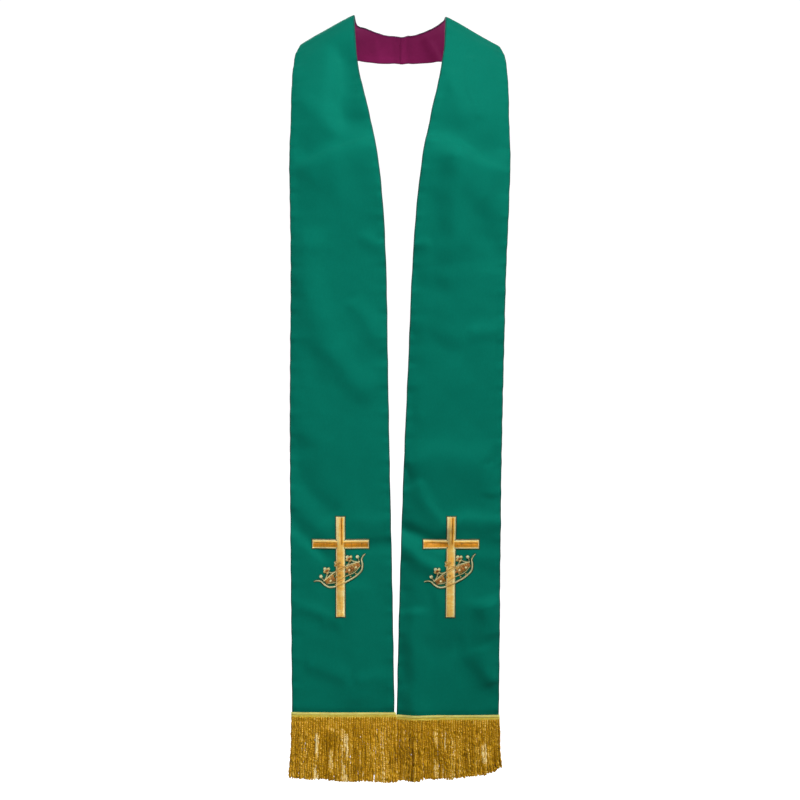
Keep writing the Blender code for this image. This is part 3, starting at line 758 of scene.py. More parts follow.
class Nodes:
    """Adds and joins the nodes of a material or of the world by short calls."""

    def __init__(self, tree):
        self.tree = tree

    def feed(self, socket, value):
        """Joins a socket to another one, or sets it to a value."""
        if isinstance(value, bpy.types.NodeSocket):
            self.tree.links.new(value, socket)
        else:
            socket.default_value = value

    def node(self, kind, inputs=None, **settings):
        made = self.tree.nodes.new(kind)
        for key, value in settings.items():
            setattr(made, key, value)
        for key, value in (inputs or {}).items():
            self.feed(made.inputs[key], value)
        return made

    def attribute(self, name):
        return self.node("ShaderNodeAttribute", attribute_name=name)

    def part(self, vector, axis):
        return self.node("ShaderNodeSeparateXYZ", {"Vector": vector}).outputs[axis]

    def place(self, kind):
        return self.node("ShaderNodeTexCoord").outputs[kind]

    def noise(self, vector, scale, detail=2.0):
        inputs = {"Vector": vector, "Scale": scale, "Detail": detail}
        return self.node("ShaderNodeTexNoise", inputs).outputs["Fac"]

    def maths(self, operation, first, second):
        return self.node("ShaderNodeMath", {0: first, 1: second}, operation=operation).outputs[0]

    def blend(self, total, *weighted):
        """A total and some other sockets, each times its weight."""
        for socket, weight in weighted:
            total = self.maths("ADD", total, self.maths("MULTIPLY", socket, weight))
        return total

    def mixed(self, share, first, second):
        return self.node("ShaderNodeMix", {0: share, 6: first, 7: second}, data_type="RGBA").outputs[2]

    def ramp(self, share, stops):
        made = self.node("ShaderNodeValToRGB", {"Fac": share})
        elements = made.color_ramp.elements
        while len(elements) < len(stops):
            elements.new(0.5)
        for element, (place, colour) in zip(elements, stops):
            element.position = place
            element.color = (*colour, 1)
        return made.outputs["Color"]

    def mapped(self, value, start, end, low, high):
        inputs = {"Value": value, "From Min": start, "From Max": end, "To Min": low, "To Max": high}
        return self.node("ShaderNodeMapRange", inputs).outputs["Result"]


class Finish(Nodes):
    """A material of one shader."""

    def __init__(self, name, roughness, **settings):
        self.material = bpy.data.materials.new(name)
        self.material.use_nodes = True
        super().__init__(self.material.node_tree)
        self.shader = self.tree.nodes["Principled BSDF"]
        self.set("Roughness", roughness)
        for key, value in settings.items():
            self.set(key.replace("_", " "), value)

    def set(self, name, value):
        self.feed(self.shader.inputs[name], value)

    def raised(self, socket, strength, distance):
        inputs = {"Height": socket, "Strength": strength, "Distance": distance}
        self.set("Normal", self.node("ShaderNodeBump", inputs).outputs["Normal"])


# Colours of the satins, between which the weave varies. The edge colour is painted shade where the cloth
# turns in.
SATIN_COLUMNS = ("name", "dark", "light", "edge", "tint")
SATINS = (
    ("green satin",
     (0.0010, 0.116, 0.078), (0.0028, 0.170, 0.116), (0.014, 0.060, 0.052), (0.02, 0.95, 0.68)),
    ("plum satin",
     (0.165, 0.009, 0.066), (0.245, 0.018, 0.104), (0.08, 0.010, 0.050), (0.95, 0.15, 0.5)),
)
# Painted shade along the edges: at its most out to the first distance, gone by the second
EDGE_SHADE = (0.4 * MM, 3.0 * MM, 0.85)
SATIN_ROUGHNESS = (0.55, 0.7)

# How finely the satin's and the threads' noises are drawn, in turns to the metre
CLOUD_SCALE = 22
MOTTLE_SCALE = 260
STREAK_SCALE = (1600, 60, 0)
TWILL_SCALE = 900.0
FIBRE_SCALE = 1700
PATCH_SCALE = 170

# Threads: their stops of colour by tone, from dark to pale, and their gloss. The embroidery threads' darkest
# stops colour the painted shadow outlines
THREAD_COLUMNS = ("name", "roughness", "gloss", "stops")
THREADS = (
    ("gold embroidery thread", 0.34, 0.7, (
        (0.06, (0.008, 0.034, 0.012)),
        (0.16, (0.56, 0.200, 0.009)),
        (0.44, (0.95, 0.440, 0.036)),
        (0.70, (1.0, 0.68, 0.16)),
        (1.0, (1.0, 0.93, 0.52)),
    )),
    ("pale gold thread", 0.38, 0.5, (
        (0.02, (0.010, 0.034, 0.010)),
        (0.10, (0.09, 0.070, 0.014)),
        (0.20, (0.42, 0.115, 0.035)),
        (0.40, (0.62, 0.31, 0.060)),
        (0.68, (0.78, 0.70, 0.27)),
        (1.0, (0.84, 0.90, 0.56)),
    )),
    ("twisted gold cord", 0.45, 0.25, (
        (0.0, (0.13, 0.056, 0.001)),
        (0.4, (0.46, 0.225, 0.004)),
        (0.7, (0.80, 0.460, 0.032)),
        (1.0, (1.0, 0.80, 0.36)),
    )),
    ("woven gold heading", 0.5, 0.2, (
        (0.0, (0.35, 0.215, 0.008)),
        (0.5, (0.70, 0.560, 0.065)),
        (1.0, (0.82, 0.820, 0.27)),
    )),
)
GOLD_LIGHT = (1.0, 0.72, 0.30, 1)


def satin(name, dark, light, edge, tint):
    """Satin cloth. The grain attribute holds the distances aside, along and from an edge."""
    shine = (*tint, 1)
    finish = Finish(name, 0.6, Specular_IOR_Level=0.10, Specular_Tint=shine)
    finish.set("Sheen Weight", 0.06)
    finish.set("Sheen Roughness", 0.5)
    finish.set("Sheen Tint", shine)
    grain = finish.attribute("grain").outputs["Vector"]
    clouds = finish.noise(grain, CLOUD_SCALE, 3)
    mottle = finish.noise(grain, MOTTLE_SCALE)
    along = finish.node("ShaderNodeMapping", {"Vector": grain, "Scale": STREAK_SCALE}).outputs["Vector"]
    streaks = finish.noise(along, 1)
    tone = finish.blend(finish.maths("MULTIPLY", clouds, 0.35), (mottle, 0.4), (streaks, 0.25))
    cloth = finish.mixed(tone, (*dark, 1), (*light, 1))
    edge_shade = finish.mapped(finish.part(grain, "Z"), *EDGE_SHADE, 0.0)
    finish.set("Base Color", finish.mixed(edge_shade, cloth, (*edge, 1)))
    finish.set("Roughness", finish.mapped(streaks, 0.0, 1.0, *SATIN_ROUGHNESS))
    inputs = {"Vector": grain, "Scale": TWILL_SCALE, "Distortion": 0.6, "Detail": 1.0}
    twill = finish.node("ShaderNodeTexWave", inputs, bands_direction="DIAGONAL").outputs["Fac"]
    weave = finish.blend(finish.maths("MULTIPLY", twill, 0.5), (streaks, 0.9), (mottle, 0.8))
    finish.raised(weave, 0.35, 0.12 * MM)
    return finish.material


def thread(name, roughness, gloss, stops):
    """Twisted or stitched thread, whose tone attribute picks its colour and whose fibres are fine noise."""
    finish = Finish(name, roughness, Specular_IOR_Level=gloss, Specular_Tint=GOLD_LIGHT)
    place = finish.place("Object")
    fibres = finish.noise(place, FIBRE_SCALE)
    patches = finish.noise(place, PATCH_SCALE)
    tone = finish.attribute("tone").outputs["Fac"]
    for noise, weight in ((fibres, 0.3), (patches, 0.35)):
        tone = finish.blend(tone, (finish.maths("SUBTRACT", noise, 0.5), weight))
    finish.set("Base Color", finish.ramp(tone, stops))
    finish.raised(fibres, 0.25, 0.1 * MM)
    return finish.material


GREEN, PLUM = (satin(**row) for row in rows(SATINS, SATIN_COLUMNS))
GOLD_THREAD, CROWN_THREAD, FRINGE_CORD, HEADING_THREAD = (
    thread(**row) for row in rows(THREADS, THREAD_COLUMNS)
)


# The cloth shells

# Columns and rows stand close together by the edges, where the cloth rounds off, in millimetres from the edge
EDGE_STEPS = np.array([0, 0.1, 0.3, 0.65, 1.3, 2.4, 5, 8, 10.5, 13]) * MM
MIDDLE_COLUMNS = 30
SEAM_STEPS = np.array([-0.35, -0.2, 0.15, 0.6, 1.2, 2.1, 3.6]) * MM
HEM_STEPS = np.array([10, 7.5, 5.5, 4, 2.6, 1.6, 0.9, 0.4, 0.1, 0]) * MM
HEM_EXTRA = 1.5 * MM
BAND_ROW_STEP = 3 * MM
PANEL_ROW_STEP = 3.6 * MM
BAND_LENGTH = 330 * MM


def shell_rows():
    rows_band = np.arange(SEAM_STEPS[-1] + BAND_ROW_STEP, BAND_LENGTH, BAND_ROW_STEP)
    last = HEM_DISTANCE + HEM_EXTRA
    rows_panel = np.arange(BAND_LENGTH, last - HEM_STEPS[0] - PANEL_ROW_STEP / 2, PANEL_ROW_STEP)
    return np.concatenate([SEAM_STEPS, rows_band, rows_panel, last - HEM_STEPS])


def shell_grid(inset):
    """The distance along, the distance from each long edge and the width, at every row and column."""
    distance = shell_rows()[:, None]
    width = width_at(distance) - 2 * inset
    near = EDGE_STEPS * np.ones_like(width)
    middle = near[:, -1:] + (width - 2 * near[:, -1:]) * np.linspace(0, 1, MIDDLE_COLUMNS + 2)[1:-1]
    aside = np.concatenate([near, middle, width - near[:, ::-1]], axis=1)
    return np.broadcast_to(distance, aside.shape), aside, width


def rounded(from_edge, radius):
    """0 at an edge, and up to 1 over the radius as a quarter circle rises."""
    return np.sqrt(1 - (1 - np.clip(from_edge / radius, 0, 1)) ** 2)


def cloth_shell(name, side, inner, outer, inset, finish):
    """One layer of cloth as a thin closed shell, rounded off at its edges, raised over the seam allowance."""
    distance, aside, width = shell_grid(inset)
    across = (aside + inset) / (width + 2 * inset)
    from_edge = np.minimum(aside, width - aside)
    from_hem, from_seam = HEM_DISTANCE + HEM_EXTRA - distance, distance - SEAM_STEPS[0]
    share = rounded(from_edge, EDGE_RADIUS) * rounded(from_hem, HEM_RADIUS) * rounded(from_seam, SEAM_RADIUS)
    allowance = smoothstep(from_edge / SEAM_ALLOWANCE_FADES[0])
    allowance = allowance * (1 - smoothstep((from_edge - SEAM_ALLOWANCE) / SEAM_ALLOWANCE_FADES[1]))
    out = math.copysign(1, outer - inner)
    shown = inner + (outer - inner) * share + out * SEAM_ALLOWANCE_RISE * allowance * share
    shown_points = cloth_points(side, distance, across, shown)
    hidden_points = cloth_points(side, distance, across, np.full_like(shown, inner))
    top, bottom = (shown_points, hidden_points) if out > 0 else (hidden_points, shown_points)
    points, faces = closed_sheet(top, bottom, side == "right")
    grain = np.stack([aside, distance, from_edge], axis=-1)
    grain = np.concatenate([grain.reshape(-1, 3), grain[1:-1, 1:-1].reshape(-1, 3)])
    return add_piece(name, points, faces, finish, grain=grain)


# The fringe


def cloth_line(side, across, below_hem, out):
    """Points straight down from the hem and out from the wearer, and their normals."""
    across, below_hem, out = np.broadcast_arrays(across, below_hem, out)
    distance = np.full_like(across, HEM_DISTANCE)
    points = cloth_points(side, distance, across, np.zeros_like(across))
    normal = normals_at(side, distance, across)
    return points + normal * out[..., None] + np.array([0, 0, -1.0]) * below_hem[..., None], normal


def along_heading(share):
    return HEADING_ENDS[0] + (HEADING_ENDS[1] - HEADING_ENDS[0]) * share


def squared(turned):
    """A sine or cosine with fuller corners."""
    return np.sign(turned) * np.abs(turned) ** 0.5


def heading_strip(side):
    """The heading's woven core: a rounded strip along the hem."""
    angles = 2 * math.pi * (np.arange(HEADING_CORNERS) + 0.5) / HEADING_CORNERS
    level = HEADING_DROP + HEADING_HEIGHT / 2 * (1 - HEADING_CORE * squared(np.sin(angles)))
    across = np.linspace(*HEADING_ENDS, HEADING_STATIONS)[:, None]
    points, _ = cloth_line(side, across, level, HEADING_HALF_DEPTH * squared(np.cos(angles)))
    faces = ring_faces(1, HEADING_STATIONS, HEADING_CORNERS)
    if side == "right":
        faces = [block[:, ::-1] for block in faces]
    return points.reshape(-1, 3), faces, HEADING_TONE


def heading_threads(side, face, rng):
    """Threads wound over one face of the heading, side by side."""
    first, last = HEADING_ENDS[0] + WOUND_INSET, HEADING_ENDS[1] - WOUND_INSET
    across = np.linspace(first, last, WOUND_THREADS)[:, None]
    levels = WOUND_LEVELS * HEADING_HEIGHT
    depth = (WOUND_DEPTHS[0] + WOUND_DEPTHS[1] * rng.random((WOUND_THREADS, 1))) * MM * face
    points, normal = cloth_line(side, across, HEADING_DROP + levels, depth)
    tones = np.interp(levels / MM, list(WOUND_TONES), list(WOUND_TONES.values()))
    tones = tones + HEADING_TONE_SPREAD * (rng.random((WOUND_THREADS, 1)) - 0.5)
    return tubes(points, normal * face, *WOUND_THREAD_SIZE, tones)


def braid(side, level, height, tone, face, rng):
    """A chain of slanting stitches along the heading, leaning one way above its middle and back below."""
    width = width_at(np.array(HEM_DISTANCE))
    count = int(width / BRAID_PITCH)
    middle = along_heading((np.arange(count) + 0.5) / count)[:, None]
    share = np.linspace(-0.5, 0.5, BRAID_STEPS)
    depth = (BRAID_DEPTHS[0] + BRAID_DEPTHS[1] * np.cos(math.pi * share)) * MM * face
    parts = []
    for half in (-1, 1):
        across = middle + share * half * BRAID_LEAN * height / width
        across = np.clip(across, HEADING_ENDS[0] + BRAID_INSET, HEADING_ENDS[1] - BRAID_INSET)
        points, normal = cloth_line(side, across, level + half * height / 4 + share * height / 2, depth)
        tones = tone + HEADING_TONE_SPREAD * (rng.random((count, 1)) - 0.5)
        parts.append(tubes(points, normal * face, *BRAID_THREAD_SIZE, tones, BRAID_SIDES))
    return parts


def heading(side, rng):
    parts = [heading_strip(side)]
    for face in (1, -1):
        parts.append(heading_threads(side, face, rng))
        for row in rows(BRAIDS, BRAID_COLUMNS):
            parts += braid(side, HEADING_DROP + row["level"] * MM, row["height"] * MM, row["tone"], face, rng)
    return add_joined(f"heading_{side}", parts, HEADING_THREAD)


def parting_push(side, x):
    """How far each cord's tip is pushed aside by the partings."""
    push = np.zeros_like(x)
    for parting in rows(FRINGE_PARTINGS[side], PARTING_COLUMNS):
        away = x - parting["x"] * MM
        push += np.sign(away) * parting["width"] * MM / 2 * np.exp(-np.abs(away) / PARTING_REACH)
    return push


def cord_paths(side, row, rng):
    """The middles of one row's cords, from inside the heading to their tips, and how far along each lies."""
    count = CORDS_IN_ROW
    even = (np.arange(count) + row["start"]) / count
    across = along_heading(even + CORD_UNEVEN / count * rng.uniform(-1, 1, count))
    lengths = FRINGE_LENGTHS[side]
    longest = np.interp(across, list(lengths), list(lengths.values())) * MM
    bundles = np.repeat(rng.normal(0, CORD_BUNDLES, count), 3)[:count]
    length = longest - CORD_ROOT - CORD_SHORTER * rng.random(count) ** 2 + bundles
    share = np.linspace(0, 1, CORD_RINGS)[None, :]
    run = length[:, None] * share
    root, _ = cloth_line(side, across, CORD_ROOT, -row["depth"] * MM)
    path = root[:, None, :] + np.zeros((count, CORD_RINGS, 1))
    flare = FRINGE_FLARE_OUT * across**2 - FRINGE_FLARE_IN * (1 - across) ** 3
    grown = smoothstep((share - PARTING_STARTS) / (1 - PARTING_STARTS))
    path[..., 0] += flare[:, None] * SIDES[side] * share**1.5
    path[..., 0] += parting_push(side, root[:, 0])[:, None] * grown
    loose = smoothstep(run / CORD_LOOSE_BELOW)
    for sway in rows(CORD_SWAYS, SWAY_COLUMNS):
        lengths = rng.uniform(sway["shortest"], sway["longest"], (count, 1)) * MM
        turns = run / lengths + rng.random((count, 1))
        size = sway["size"] * MM * rng.uniform(*SWAY_RANGE, (count, 1))
        path[..., sway["axis"]] += loose * size * wave(turns)
    path[..., 2] -= run
    return path, run


def twisted_cords(side, row, rng):
    """One row of the fringe: two-ply cords, each a section with two lobes that turns as it goes down."""
    paths, run = cord_paths(side, row, rng)
    count, steps = paths.shape[:2]
    corners = row["corners"]
    each = (count, 1)
    angles = 2 * math.pi * np.arange(corners) / corners
    lobes = CORD_WAIST + (1 - CORD_WAIST) * np.abs(np.cos(angles)) ** CORD_LOBE_POWER
    thickness = CORD_WIDTH / 2 * rng.uniform(*CORD_WIDTH_RANGE, each)
    thickness = thickness * (1 - CORD_TIP_TAPER * smoothstep((run - run[:, -1:] + CORD_TIP) / CORD_TIP))
    drift = CORD_TURN_DRIFT * wave(run / rng.uniform(*CORD_DRIFT_LENGTHS, each) + rng.random(each))
    turns = run / CORD_TURN * rng.uniform(*CORD_TURN_RANGE, each) + rng.random(each) + drift
    direction = angles - 2 * math.pi * turns[..., None]
    reach = thickness[..., None] * lobes
    section = np.stack([reach * np.cos(direction), reach * np.sin(direction), 0 * reach], axis=-1)
    rings = paths[:, :, None, :] + section
    faces = [block[:, ::-1] for block in ring_faces(count, steps, corners)]
    bundle = np.repeat(rng.random(count), rng.integers(2, 5, count))[:count, None]
    patches = wave(run / (rng.uniform(*PATCH_LENGTHS, each) * MM) + bundle)
    clumps = np.repeat(rng.normal(0, CLUMP_TONE_SPREAD, count), rng.integers(1, 5, count))[:count, None]
    streaked = np.repeat(rng.random(count) > 1 - PALE_SHARE, 2)[:count, None]
    pale = PALE_STREAK * streaked * smoothstep(1.5 * patches + 0.8)
    grown = smoothstep((run - TONES_GROW_FROM) / TONES_GROW_OVER)
    changes = rng.normal(0, CORD_TONE_SPREAD, each) + clumps + pale + PATCH_TONE * patches
    tone = CORD_TONES[side] + changes * (TONES_AT_HEADING + (1 - TONES_AT_HEADING) * grown)
    # Painted glints that flash as the twist turns, and painted shade in the grooves between the lobes
    glint = CORD_GLINT * np.cos(4 * math.pi * turns)
    tones = (tone + glint)[..., None] + CORD_GROOVE_SHADE * (lobes - CORD_GROOVE_SHADE_LEVEL)
    name = f"cords_{side}_{row['name']}"
    return add_piece(name, rings.reshape(-1, 3), faces, FRINGE_CORD, tone=tones.ravel())


# The embroidery. Its places are pairs of sideways, towards +X from the cross's middle, and down from its top.


def emblem_points(side, places, height):
    """Points over the face, and its normals."""
    sideways, down = places[..., 0], places[..., 1]
    top = CROSS_TOP_LEVEL + SIDES[side] * HEM_LEVEL_DIFFERENCE * CROSS_TOP_LEVEL / HEM_LEVEL
    distance = HEM_DISTANCE - (top - HEM_LEVEL) + down
    sideways = sideways + CROSS_FOOT_SHIFT[side] * down / CROSS_HEIGHT
    across = 0.5 + sideways * SIDES[side] / width_at(distance)
    return cloth_points(side, distance, across, FACE_HEIGHT + height), normals_at(side, distance, across)


def between(first, second, share):
    """Places on the straight line from one place to another, or from each of several to its fellow."""
    first, second = np.array(first), np.array(second)
    return first[..., None, :] + (second - first)[..., None, :] * share[:, None]


def round_height(share):
    """The height of a round form over its width, from -1 to 1."""
    return np.sqrt(np.clip(1 - share**2, 0, 1))


def domed(share):
    """The rounded height of padding across its width."""
    return round_height(2 * share - 1) ** DOME_POWER


def satin_stitches(side, first, second, padding, rng, tones, spread=0.16, steps=6, thick=0.3 * MM, under=0.0):
    """Stitches side by side from one edge to another, over padding that rounds them off. tones run from the
    first edge to the second, and under is the height of what the stitches lie on."""
    share = np.linspace(0, 1, steps)
    count = len(first)
    length = np.linalg.norm(second - first, axis=1)
    loose = (STITCH_LOOSE * rng.random((count, 1)) - STITCH_SUNK) * MM
    lift = np.minimum(padding, length * 0.5)[:, None] * domed(share) + loose + np.reshape(under, (-1, 1))
    points, normal = emblem_points(side, between(first, second, share), lift)
    tones = np.interp(share, np.linspace(0, 1, len(tones)), tones)
    tones = tones + spread * (rng.random((count, 1)) - 0.5)
    return tubes(points, normal, thick, thick * STITCH_FLATNESS, tones)


def pad(side, first, second, padding, tone):
    """A closed low pad under stitches, between the same two edges."""
    share = np.linspace(0, 1, PAD_STEPS)
    places = between(first, second, share)
    inside = np.ones((len(first), 1))
    inside[[0, -1]] = 0
    top, _ = emblem_points(side, places, (padding - PAD_CLEARANCE) * domed(share) * inside - PAD_SUNK)
    bottom, _ = emblem_points(side, places, -PAD_SUNK - PAD_DEPTH * inside + 0 * share)
    bottom[0], bottom[-1], bottom[:, 0], bottom[:, -1] = top[0], top[-1], top[:, 0], top[:, -1]
    ahead = first[-1] - first[0]
    over = second[0] - first[0]
    points, faces = closed_sheet(top, bottom, ahead[0] * over[1] - ahead[1] * over[0] > 0)
    return points, faces, tone


def stitched_line(start, end):
    """Places in a line, one for each stitch."""
    count = max(2, int(np.linalg.norm(np.array(end) - np.array(start)) / THREAD_PITCH))
    return between(start, end, (np.arange(count) + 0.5) / count)


def column(side, start, end, near, far, padding, rng, tones, padded=True, **settings):
    """A straight satin column along a line. Its stitches reach from near to far, measured from the line."""
    line = stitched_line(start, end)
    parts = [satin_stitches(side, line + near, line + far, padding, rng, tones, **settings)]
    if padded:
        middle = between(start, end, np.linspace(0, 1, 24))
        parts.append(pad(side, middle + near, middle + far, padding, float(np.mean(tones))))
    return parts


def cross_border(side, rng):
    """A narrow satin edge all round the cross, with square corners, and a dark outline of painted shadow
    round it.
    """
    half_bar, half_span = CROSS_BAR / 2, CROSS_SPAN / 2
    arm_top, arm_bottom = CROSS_ARM_CENTRE - half_bar, CROSS_ARM_CENTRE + half_bar
    right_half = [
        (half_bar, 0), (half_bar, arm_top), (half_span, arm_top), (half_span, arm_bottom),
        (half_bar, arm_bottom), (half_bar, CROSS_HEIGHT),
    ]
    outline = right_half + [(-sideways, down) for sideways, down in right_half[::-1]]
    outline = outline[-1:] + outline[:-1]
    parts = []
    for here, following in zip(outline, outline[1:] + outline[:1]):
        ahead = unit(np.array(following) - np.array(here))
        inward = np.array([-ahead[1], ahead[0]])
        reach = here - ahead * SHADOW_OUTLINE_WIDTH, following + ahead * SHADOW_OUTLINE_WIDTH
        edges = -SHADOW_OUTLINE_WIDTH * inward, SHADOW_OUTLINE_OVERLAP * inward
        settings = {"padded": False, "steps": 3, "under": SHADOW_OUTLINE_HEIGHT}
        parts += column(side, *reach, *edges, 0, rng, SHADOW_OUTLINE_TONES, **settings)
        edges = -BORDER_OVERHANG * inward, CROSS_BORDER * inward
        settings = {"padded": False, "steps": 4}
        parts += column(side, here, following, *edges, BORDER_PADDING, rng, BORDER_TONES, **settings)
    return parts


def embroidered_cross(side, rng):
    """A Latin cross in satin stitch: two columns down the head and along each arm, one wide brick fill down
    the foot, and a paler border."""
    half_bar, half_span = CROSS_BAR / 2, CROSS_SPAN / 2
    inside = half_bar - CROSS_BORDER * FILL_INSET
    parts = cross_border(side, rng)
    head_end = (0, CROSS_ARM_CENTRE + HEAD_PAST_CENTRE)
    for near, far, tones in ((-inside, HEAD_SPLIT, HEAD_LIGHT_AND_SHADE[0]), (HEAD_SPLIT, inside, HEAD_LIGHT_AND_SHADE[1])):
        edges = np.array([near, 0]), np.array([far, 0])
        parts += column(side, (0, END_GAP), head_end, *edges, CROSS_PADDING, rng, tones)
    for direction in (-1, 1):
        start = (direction * (half_bar - ARM_ROOT), CROSS_ARM_CENTRE)
        end = (direction * (half_span - END_GAP), CROSS_ARM_CENTRE)
        for near, far, tones in ((-inside, ARM_SPLIT, ARM_LIGHT_AND_SHADE[0]), (ARM_SPLIT, inside, ARM_LIGHT_AND_SHADE[1])):
            edges = np.array([0, near]), np.array([0, far])
            parts += column(side, start, end, *edges, ARM_PADDING, rng, tones, spread=0.2)
    parts += foot_fill(side, (0, CROSS_ARM_CENTRE), (0, CROSS_HEIGHT - END_GAP), inside, rng)
    return add_joined(f"cross_stitches_{side}", parts, GOLD_THREAD, TONES_ABOVE_SHADOW_OUTLINES)


def foot_fill(side, start, end, inside, rng):
    """The foot's wide fill. Every row of stitches is broken at another place, as bricks are."""
    line = stitched_line(start, end)
    count = len(line)
    breaks = np.array(FOOT_BREAKS)[np.arange(count) % len(FOOT_BREAKS)] * MM
    breaks = breaks + FOOT_BREAK_SPREAD * rng.uniform(-1, 1, count)
    edge = np.array([inside, 0])
    broken = line + np.column_stack([breaks, np.zeros(count)])
    marks = np.arange(0, count + FOOT_PATCH, FOOT_PATCH)
    patches = np.interp(np.arange(count), marks, rng.normal(0, FOOT_PATCH_SPREAD, len(marks)))
    share = np.linspace(0, 1, 5)
    dip = FOOT_DIP * np.abs(2 * share - 1) ** 6
    parts = []
    for first, second in ((line - edge, broken), (broken, line + edge)):
        places = between(first, second, share)
        sideways = places[..., 0]
        height = CROSS_PADDING * round_height(sideways / (inside + SHAFT_ROUNDING)) - dip
        points, normal = emblem_points(side, places, height)
        tones = np.interp(sideways, np.linspace(-inside, inside, len(FOOT_TONES)), FOOT_TONES)
        tones = tones + (FOOT_TONE_SPREAD * (rng.random(count) - 0.5) + patches)[:, None]
        parts.append(tubes(points, normal, *FOOT_THREAD_SIZE, tones))
    middle = between(start, end, np.linspace(0, 1, 40))
    parts.append(pad(side, middle + edge, middle - edge, CROSS_PADDING, FOOT_PAD_TONE))
    return parts


def on_crown(along, up):
    """The places of points on the crown, which rises towards the wearer's left."""
    cos, sin = math.cos(CROWN_TILT), math.sin(CROWN_TILT)
    sideways = CROWN_SHIFT + along * cos - up * sin
    return np.stack([sideways, CROWN_CENTRE_DOWN - along * sin - up * cos], axis=-1)


def curve_through(points):
    """Places one stitch apart on a smooth curve through a few points, and the unit normals of the curve."""
    knots = run_along(points)
    line = SmoothCurve(knots, points).at(np.linspace(0, knots[-1], CURVE_STEPS))
    run = run_along(line)
    marks = np.linspace(0, run[-1], max(2, int(run[-1] / THREAD_PITCH)))
    even = np.column_stack([np.interp(marks, run, line[:, k]) for k in (0, 1)])
    ahead = unit(np.gradient(even, axis=0))
    return even, np.column_stack([-ahead[:, 1], ahead[:, 0]])


def over_shaft(first, second):
    """Which stitches cross the cross's shaft, and the height of the shaft's padding under them."""
    nearer = np.minimum(np.abs(first[:, 0]), np.abs(second[:, 0]))
    sideways = (first[:, 0] + second[:, 0]) / 2
    height = CROSS_PADDING * round_height(sideways / (CROSS_BAR / 2 + SHAFT_ROUNDING))
    return nearer <= CROSS_BAR / 2 + SHAFT_CLEARANCE, height


def crown_stitches(side, first, second, padding, tones, rng, **settings):
    """Stitches of the crown between two edges: pale with a dark outline of painted shadow beside the shaft,
    and dull where the crown shows through the gold of the shaft."""
    first, second = on_crown(*first.T), on_crown(*second.T)
    crossing, padding_under = over_shaft(first, second)
    outwards = unit(first - second) * SHADOW_OUTLINE_WIDTH * CROWN_SHADOW_OUTLINE
    beside = ~crossing
    parts = []
    if beside.sum() > 1:
        edges = (first + outwards)[beside], (second - outwards)[beside]
        parts.append(satin_stitches(side, *edges, 0, rng, SHADOW_OUTLINE_TONES, steps=3, under=SHADOW_OUTLINE_HEIGHT))
        parts.append(satin_stitches(side, first[beside], second[beside], padding, rng, tones, **settings))
    if crossing.sum() > 1:
        edges = first[crossing], second[crossing]
        settings["under"] = padding_under[crossing] + OVER_SHAFT_GAP
        parts.append(satin_stitches(side, *edges, OVER_SHAFT_HEIGHT, rng, OVER_SHAFT_TONES, **settings))
    return parts


def crown_line(side, points, width, tones, rng, ends):
    """A narrow satin line along a curve on the crown, whose width changes towards its ends."""
    line, normal = curve_through(points)
    mirrored = points[0][0] == -points[-1][0]
    from_middle = np.abs(np.linspace(-1 if mirrored else 0, 1, len(line)))
    half = width / 2 * np.interp(from_middle, (0, 0.7, 1), (1, 1, ends))[:, None]
    edges = line + normal * half, line - normal * half
    return crown_stitches(side, *edges, width * 0.5, tones, rng, steps=4, thick=CROWN_THREAD_SIZE)


def crown_band(side, rng):
    """The low dark fill between the rims of the crown, on which the jewels lie."""
    top, bottom, half_length = np.array(CROWN_BAND) * MM
    parts = []
    for direction in (-1, 1):
        along = direction * np.arange(0.3 * MM, half_length, THREAD_PITCH)
        drawn_in = CROWN_BAND_SAG * (along / half_length) ** 2
        first, second = on_crown(along, top - drawn_in), on_crown(along, bottom + drawn_in)
        beside = ~over_shaft(first, second)[0]
        settings = {"spread": CROWN_BAND_SPREAD, "steps": 5, "under": SHADOW_OUTLINE_HEIGHT}
        edges = first[beside], second[beside]
        parts.append(satin_stitches(side, *edges, CROWN_BAND_HEIGHT, rng, CROWN_BAND_TONES, **settings))
    return parts


def crown_knot(side, along, up, radius, tone, rng, pointed=False):
    """A small round knot, or a lozenge where it is pointed, of a few stitches side by side."""
    share = np.linspace(-KNOT_SPAN, KNOT_SPAN, max(4, int(2 * radius / KNOT_PITCH)))
    half = radius * (1 - np.abs(share) + 0.12 if pointed else round_height(share))
    first, second = (np.column_stack([along + share * radius, edge]) for edge in (up + half, up - half))
    # Painted light and shade: each knot lighter at its upper edge and darker at its lower
    tones = (tone + 0.1, tone, tone - 0.12)
    return crown_stitches(side, first, second, radius * 0.75, tones, rng, steps=5, thick=KNOT_THREAD_SIZE)


def crown_cluster(side, along, up, rng):
    """The round knots on a point of the crown."""
    parts = []
    for knot in rows(CLUSTER, CLUSTER_COLUMNS):
        place = (along + knot["aside"] * MM, up + knot["raised"] * MM)
        parts += crown_knot(side, *place, knot["radius"] * MM, knot["tone"], rng)
    return parts


def embroidered_crown(side, rng):
    """An open coronet in satin line: a jewelled band with curled ends, and points with clusters of knots."""
    parts = crown_band(side, rng)
    for drawn in rows(CROWN_LINES, CROWN_LINE_COLUMNS):
        line = np.array(drawn["line"]) * MM
        mirrored = line * (-1, 1)
        lines = [line, mirrored] if line[0, 0] else [np.concatenate([mirrored[:0:-1], line])]
        for points in lines:
            parts += crown_line(side, points, drawn["width"] * MM, drawn["tones"], rng, drawn["end_width"])
    for knot in rows(CROWN_KNOTS, KNOT_COLUMNS):
        for direction in (-1, 1):
            place = (direction * knot["along"] * MM, knot["up"] * MM)
            parts += crown_knot(side, *place, knot["radius"] * MM, knot["tone"], rng, knot["pointed"])
    for along, up in CROWN_CLUSTERS:
        for direction in (-1, 1) if along else (1,):
            parts += crown_cluster(side, direction * along * MM, up * MM, rng)
    return add_joined(f"crown_stitches_{side}", parts, CROWN_THREAD, TONES_ABOVE_SHADOW_OUTLINES)


# Putting it together


